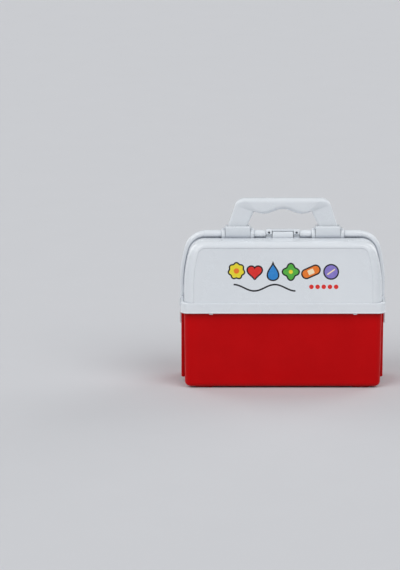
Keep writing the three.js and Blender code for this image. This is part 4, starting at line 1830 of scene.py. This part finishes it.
@dataclass
class LidPrint:
    """A cheerful print of plain shapes on the front lid's panel, each a thin film over a dark edge."""

    base: float = -LID.panel_depth - 0.06
    dark_top: float = -LID.panel_depth + 0.03
    ink_top: float = -LID.panel_depth + 0.06
    inner_top: float = -LID.panel_depth + 0.09
    rim: float = 1.5
    row_height: float = 33.5
    line_half: float = 0.85
    wave_drop: float = 17.0
    wave_reach: tuple[float, float] = (-53.0, 66.0)
    wave_swing: float = 3.4
    wave_turns: float = 1.5
    dots: int = 5
    dot_radius: float = 2.4
    dot_start: float = 30.0
    dot_pitch: float = 6.6
    dot_drop: float = 16.0

    def _film(self, name: str, shapes: Iterable[np.ndarray], top: float, ink: Ink) -> None:
        """Lays thin films of one ink on the lid, up to a height out from its face."""
        films = [Solid.prism(shape, self.base, top, LID.on_face) for shape in shapes]
        joined(films).placed(name, "front_lid", ink.value.material())

    @staticmethod
    def _at(shape: np.ndarray, place: Point, turn: float = 0.0) -> np.ndarray:
        """Turns a shape by some degrees and moves it to its place."""
        sine, cosine = math.sin(math.radians(turn)), math.cos(math.radians(turn))
        return shape @ np.array([[cosine, sine], [-sine, cosine]]) + np.array(place)

    @staticmethod
    def _heart(size: float) -> np.ndarray:
        """Draws a plump heart.

        Args:
            size: Half its width.

        Returns:
            Its outline.
        """
        t = np.linspace(0, 2 * math.pi, HEART_STEPS, endpoint=False)
        across = np.sin(t) ** 3
        up = (13 * np.cos(t) - 5 * np.cos(2 * t) - 2 * np.cos(3 * t) - np.cos(4 * t)) / 16
        return anticlockwise(size * np.column_stack([across, up]))

    @staticmethod
    def _drop(size: float) -> np.ndarray:
        """Draws a drop with its point upwards.

        Args:
            size: About half its height.

        Returns:
            Its outline.
        """
        t = np.linspace(0, 2 * math.pi, DROP_STEPS, endpoint=False)
        across = np.sin(t) * np.sin(t / 2) ** 1.3
        return anticlockwise(size * np.column_stack([1.12 * across, 1.2 * np.cos(t)]))

    @staticmethod
    def _flower(petals: int, radius: float, wave: float) -> np.ndarray:
        """Draws a round flower.

        Args:
            petals: How many petals it has.
            radius: Its middle radius.
            wave: Share by which the petals stand out.

        Returns:
            Its outline.
        """
        angles = np.linspace(0, 2 * math.pi, PETAL_STEPS * petals, endpoint=False)
        reach = radius * (1 + wave * np.cos(petals * angles))
        return anticlockwise(np.column_stack([reach * np.sin(angles), reach * np.cos(angles)]))

    def _wave(self) -> np.ndarray:
        """Draws the thin wavy line under the row.

        Returns:
            Its outline.
        """
        along = np.linspace(0, 1, WAVE_STEPS)
        start, length = self.wave_reach
        swing = self.wave_swing * np.cos(2 * math.pi * self.wave_turns * along)
        line = np.column_stack([start + length * along, self.row_height - self.wave_drop + swing])
        ahead = np.gradient(line, axis=0)
        ahead /= np.linalg.norm(ahead, axis=1, keepdims=True)
        aside = np.column_stack([-ahead[:, 1], ahead[:, 0]]) * self.line_half
        return np.concatenate([line - aside, (line + aside)[::-1]])

    def build(self) -> None:
        """Prints the row of shapes, the wavy line under it and the small row at its end."""
        v = self.row_height
        sun, leaf, plaster, tablet = (-50.0, v + 1.0), (8.0, v), (29.5, v), (51.0, v)
        row = (
            ("print_sun", Ink.YELLOW, self._flower(7, 7.4, 0.09), sun, 0.0),
            ("print_heart", Ink.RED, self._heart(7.4), (-30.5, v), 0.0),
            ("print_drop", Ink.BLUE, self._drop(6.6), (-11.0, v - 0.5), 0.0),
            ("print_leaf", Ink.GREEN, self._flower(4, 6.9, 0.2), leaf, 0.0),
            ("print_plaster", Ink.ORANGE, rounded_rectangle(9.4, 4.2, 4.0), plaster, 24.0),
            ("print_tablet", Ink.PURPLE, circle(7.0), tablet, 0.0),
        )
        for name, ink, shape, place, turn in row:
            placed = self._at(shape, place, turn)
            self._film(f"{name}_edge", [moved_in(placed, -self.rim)], self.dark_top, Ink.OUTLINE)
            self._film(name, [placed], self.ink_top, ink)
        inner = (
            ("print_sun_heart", Ink.ORANGE, circle(2.9), sun, 0.0),
            ("print_leaf_heart", Ink.YELLOW, circle(2.2), leaf, 0.0),
            ("print_plaster_pad", Ink.CREAM, rounded_rectangle(3.3, 2.7, 0.8), plaster, 24.0),
            ("print_tablet_score", Ink.CREAM, rounded_rectangle(5.0, 0.7, 0.6), tablet, 35.0),
        )
        for name, ink, shape, place, turn in inner:
            self._film(name, [self._at(shape, place, turn)], self.inner_top, ink)
        self._film("print_wave", [self._wave()], self.dark_top, Ink.OUTLINE)
        across = [self.dot_start + self.dot_pitch * dot for dot in range(self.dots)]
        dots = [self._at(circle(self.dot_radius), (u, v - self.dot_drop)) for u in across]
        self._film("print_beads", dots, self.ink_top, Ink.RED)


@dataclass
class BowHandle:
    """The carrying handle: two feet on pins, leaning arms and a grip with finger grooves."""

    shop: Workshop
    sizes: HandleSizes = HANDLE
    shoulder_share: float = 1 / 3
    roundest: float = 0.95
    arm_steps: int = 10
    turn_steps: int = 14
    grip_steps: int = 26

    def _underside(self, x: float) -> float:
        """Gives the height of the finger grooves."""
        s = self.sizes
        return s.shoulder_z + s.wave_depth * math.cos(2 * math.pi * x / s.wave_length)

    def _section(self, inner: np.ndarray, outer: np.ndarray, share: float) -> np.ndarray:
        """Gives one cross section.

        Args:
            inner: Its inner edge, in X and Z.
            outer: Its outer edge, in X and Z.
            share: How far it has gone from the arm's section to the grip's.

        Returns:
            The ring of points.
        """
        s = self.sizes
        half_depth = np.interp(share, [0, 1], [s.arm_thickness, s.grip_depth]) / 2
        edge = np.interp(share, [0, 1], [s.arm_edge, s.grip_edge])
        half = np.linalg.norm(outer - inner) / 2
        along = (outer - inner) / (2 * half)
        centre = (inner + outer) / 2
        flat = rounded_rectangle(half, half_depth, min(edge, min(half, half_depth) * self.roundest))
        return np.column_stack([
            centre[0] + along[0] * flat[:, 0], s.y + flat[:, 1], centre[1] + along[1] * flat[:, 0],
        ])

    def _stations(self) -> list[tuple[np.ndarray, np.ndarray, float]]:
        """Works out the sections from the right foot to the middle of the grip.

        Returns:
            The inner edge, the outer edge and the share of each.
        """
        s = self.sizes
        base = s.pivot_z - s.foot_drop
        inner, outer = s.x - s.base_half, s.x + s.base_half
        lean = math.atan(s.outer_shift / (s.shoulder_z - s.neck_z))
        turn_z = s.top - s.top_corner
        arm_run = (turn_z + s.top_corner * math.sin(lean) - s.shoulder_z) * math.tan(lean)
        turn_x = outer - s.outer_shift - arm_run - s.top_corner * math.cos(lean)
        stations = [((inner, base), (outer, base), 0.0)]
        for share in np.linspace(0, 1, self.arm_steps + 1):
            z = s.neck_z + (s.shoulder_z - s.neck_z) * share
            stations.append((
                (inner - s.inner_shift * share, z),
                (outer - s.outer_shift * share, z),
                self.shoulder_share * share,
            ))
        shoulder_x = inner - s.inner_shift
        turn_inner = shoulder_x - s.turn_run
        for step in range(self.turn_steps + 1):
            share = step / self.turn_steps
            angle = lean + (math.pi / 2 - lean) * share
            x = shoulder_x + (turn_inner - shoulder_x) * (step + 1) / (self.turn_steps + 1)
            corner = (turn_x + s.top_corner * math.cos(angle), turn_z + s.top_corner * math.sin(angle))
            blend = self.shoulder_share + (1 - self.shoulder_share) * share
            stations.append(((x, self._underside(x)), corner, blend))
        for share in np.linspace(1, 0, self.grip_steps + 1)[1:]:
            x = turn_inner * share
            stations.append(((x, self._underside(x)), (turn_x * share, s.top), 1.0))
        return [(np.array(low), np.array(high), share) for low, high, share in stations]

    def build(self) -> None:
        """Builds the handle and puts it on its body."""
        s = self.sizes
        right = self._stations()
        mirror = np.array([-1, 1])
        left = [(low * mirror, high * mirror, share) for low, high, share in right[-2::-1]]
        bow = Solid.loft([self._section(*station) for station in right + left])
        barrels = [s.rod(hand, s.barrel, s.base_half, s.barrel_edge) for hand in Hand]
        body = joined([bow, *barrels]).without(s.bores())
        body.placed("white_bow_handle", "handle", self.shop.white, WHITE.slot, "handle")

    def build_pin(self, hand: Hand) -> None:
        """Builds a handle pin and puts it on its body."""
        pin = self.sizes.rod(hand, self.sizes.pin, SOCKET.half_width, self.sizes.pin_edge)
        self.shop.wire(pin, f"{hand.name.lower()}_handle_pin")


@dataclass
class LatchClip:
    """The clip: a strip over the bead with an ear down each side of the bar."""

    shop: Workshop
    sizes: LatchSizes = LATCH

    def _strip(self) -> Solid:
        """Makes the strip over the bead.

        Returns:
            The strip.
        """
        s = self.sizes
        outline = (
            Outline(-s.lip_front, s.lip_bottom).line(-s.lip_front, s.lip_top)
            .arc(0.0, BEAD.z, s.back_radius, 90, 0)
            .line(s.pivot_y, s.pivot_z + s.barrel)
            .line(s.pivot_y, s.pivot_z - s.barrel / 2)
            .line(s.inner_radius, s.pivot_z)
            .arc(0.0, BEAD.z, s.inner_radius, 0, 90)
            .line(-HALF_SEAM - FIT_GAP, s.lip_bottom)
            .closed()
        )
        return Solid.prism(outline, -s.half_width, s.half_width)

    def _ears(self) -> list[Solid]:
        """Makes the ears, with their feet set back behind the bar's front.

        Returns:
            The left and the right ear.
        """
        s = self.sizes
        floor = LID.top + s.floor_gap
        foot = s.front - s.set_back
        outline = (
            Outline(-foot, floor + OPENING_SLOPE * foot)
            .line(-foot, BEAD.z + s.brow[0])
            .line(-s.front, BEAD.z + s.brow[1])
            .line(-s.front, BEAD.z + (s.lip_top - BEAD.z) / 2)
            .bend((-s.front, s.lip_top), (-s.lip_front, s.lip_top))
            .arc(0.0, BEAD.z, s.back_radius, 90, 0)
            .line(s.pivot_y, s.pivot_z + s.barrel)
            .line(s.pivot_y, floor)
            .line(0.0, floor)
            .closed()
        )
        return Solid.pair(outline, s.inner, s.half_width, s.edge)

    def _pits(self) -> Iterable[Solid]:
        """Makes the drill for the small pit in each ear.

        Returns:
            The left and the right drill.
        """
        s = self.sizes
        radius, depth, rise = s.pit
        for hand in Hand:
            flat = circle(radius, hand.value * (s.inner + s.half_width) / 2, BEAD.z + rise)
            yield Solid.prism(flat, -s.front - depth, -s.front + depth, along_y)

    def build(self) -> None:
        """Builds the clip and puts it on its body."""
        s = self.sizes
        barrel = s.rod(s.barrel, s.half_width, s.barrel_edge)
        body = joined([self._strip(), *self._ears(), barrel]).without(self._pits())
        body = body - s.rod(s.bore, s.half_width + OVERRUN)
        body.placed("white_latch_clip", "latch", self.shop.white, WHITE.slot, "latch")

    def build_pin(self) -> None:
        """Builds the latch pin and puts it on its body."""
        s = self.sizes
        self.shop.wire(s.rod(s.pin, s.lug[1], s.pin_edge), "latch_pin")


@dataclass(frozen=True)
class SoftLight:
    """A wide, distant soft light, which lights the whole floor evenly, with its angles in degrees."""

    name: str
    elevation: float
    turn: float
    width: float
    strength: float

    def hang(self) -> None:
        """Hangs the light, turned to the right of the camera's side."""
        data = bpy.data.lights.new(self.name, "SUN")
        data.energy = self.strength
        data.angle = math.radians(self.width)
        made = linked(self.name, data)
        made.rotation_euler = (math.radians(90.0 - self.elevation), 0.0, math.radians(self.turn))


@dataclass
class Studio:
    """The pale floor, the soft lights and the camera."""

    aim: tuple[float, float, float] = (-0.0889, 0.0, 0.106)
    elevation: float = 13.6
    distance: float = 3.0
    view_height: float = 0.6156
    sensor: float = 36.0
    floor_radius: float = 20.0
    floor_sides: int = 128
    overhead: Colour = (0.3, 0.31, 0.325)
    horizon: Colour = (0.2, 0.205, 0.215)
    glow_span: Span = (0.1, 0.95)
    lights: tuple[SoftLight, ...] = (
        SoftLight("right_key", 46.0, 42.0, 42.0, 1.16),
        SoftLight("left_key", 43.0, -48.0, 42.0, 1.21),
        SoftLight("right_back", 22.0, 128.0, 40.0, 0.8),
        SoftLight("left_back", 22.0, -128.0, 40.0, 0.8),
    )

    def build(self) -> None:
        """Builds all three."""
        self._camera()
        self._floor()
        self._world()
        for light in self.lights:
            light.hang()
        bpy.context.scene.view_settings.view_transform = "Standard"

    def _camera(self) -> None:
        """Stands the camera at the photograph's viewing angle."""
        data = bpy.data.cameras.new("camera")
        data.lens = self.sensor * self.distance / self.view_height
        data.sensor_width = self.sensor
        angle = math.radians(self.elevation)
        x, y, z = self.aim
        made = linked("camera", data)
        made.location = (x, y - self.distance * math.cos(angle), z + self.distance * math.sin(angle))
        made.rotation_euler = (math.pi / 2 - angle, 0.0, 0.0)
        bpy.context.scene.camera = made

    def _floor(self) -> None:
        """Lays the pale floor."""
        ring = raised(circle(self.floor_radius, sides=self.floor_sides), 0.0)
        mesh = bpy.data.meshes.new("floor")
        mesh.from_pydata(ring.tolist(), [], [list(range(len(ring)))])
        mesh.materials.append(FLOOR.material())
        linked("floor", mesh)

    def _world(self) -> None:
        """Gives pale surroundings that are brighter overhead."""
        world = bpy.data.worlds.new("surroundings")
        shader = Shader(world)
        way = shader.node("ShaderNodeTexCoord", output="Generated")
        height = shader.node("ShaderNodeSeparateXYZ", sockets={0: way}, output="Z")
        share = shader.spread(height, self.glow_span)
        glow = shader.node("ShaderNodeBackground", sockets={
            "Color": shader.mix(share, self.horizon, self.overhead),
        })
        shader.node("ShaderNodeOutputWorld", sockets={"Surface": glow})
        bpy.context.scene.world = world


def main() -> None:
    """Builds the studio and the case, piece by piece."""
    logging.basicConfig(level=logging.INFO, format="%(message)s")
    Studio().build()
    shop = Workshop()
    Tub(shop).build()
    top = LidTop().solid()
    FrontLid(shop, top).build()
    RearLid(shop, top).build()
    LidPrint().build()
    handle, latch = BowHandle(shop), LatchClip(shop)
    handle.build()
    latch.build()
    for hinge in Hinge.every():
        hinge.build_pin(shop)
    for hand in Hand:
        handle.build_pin(hand)
    latch.build_pin()


if __name__ == "__main__":
    main()
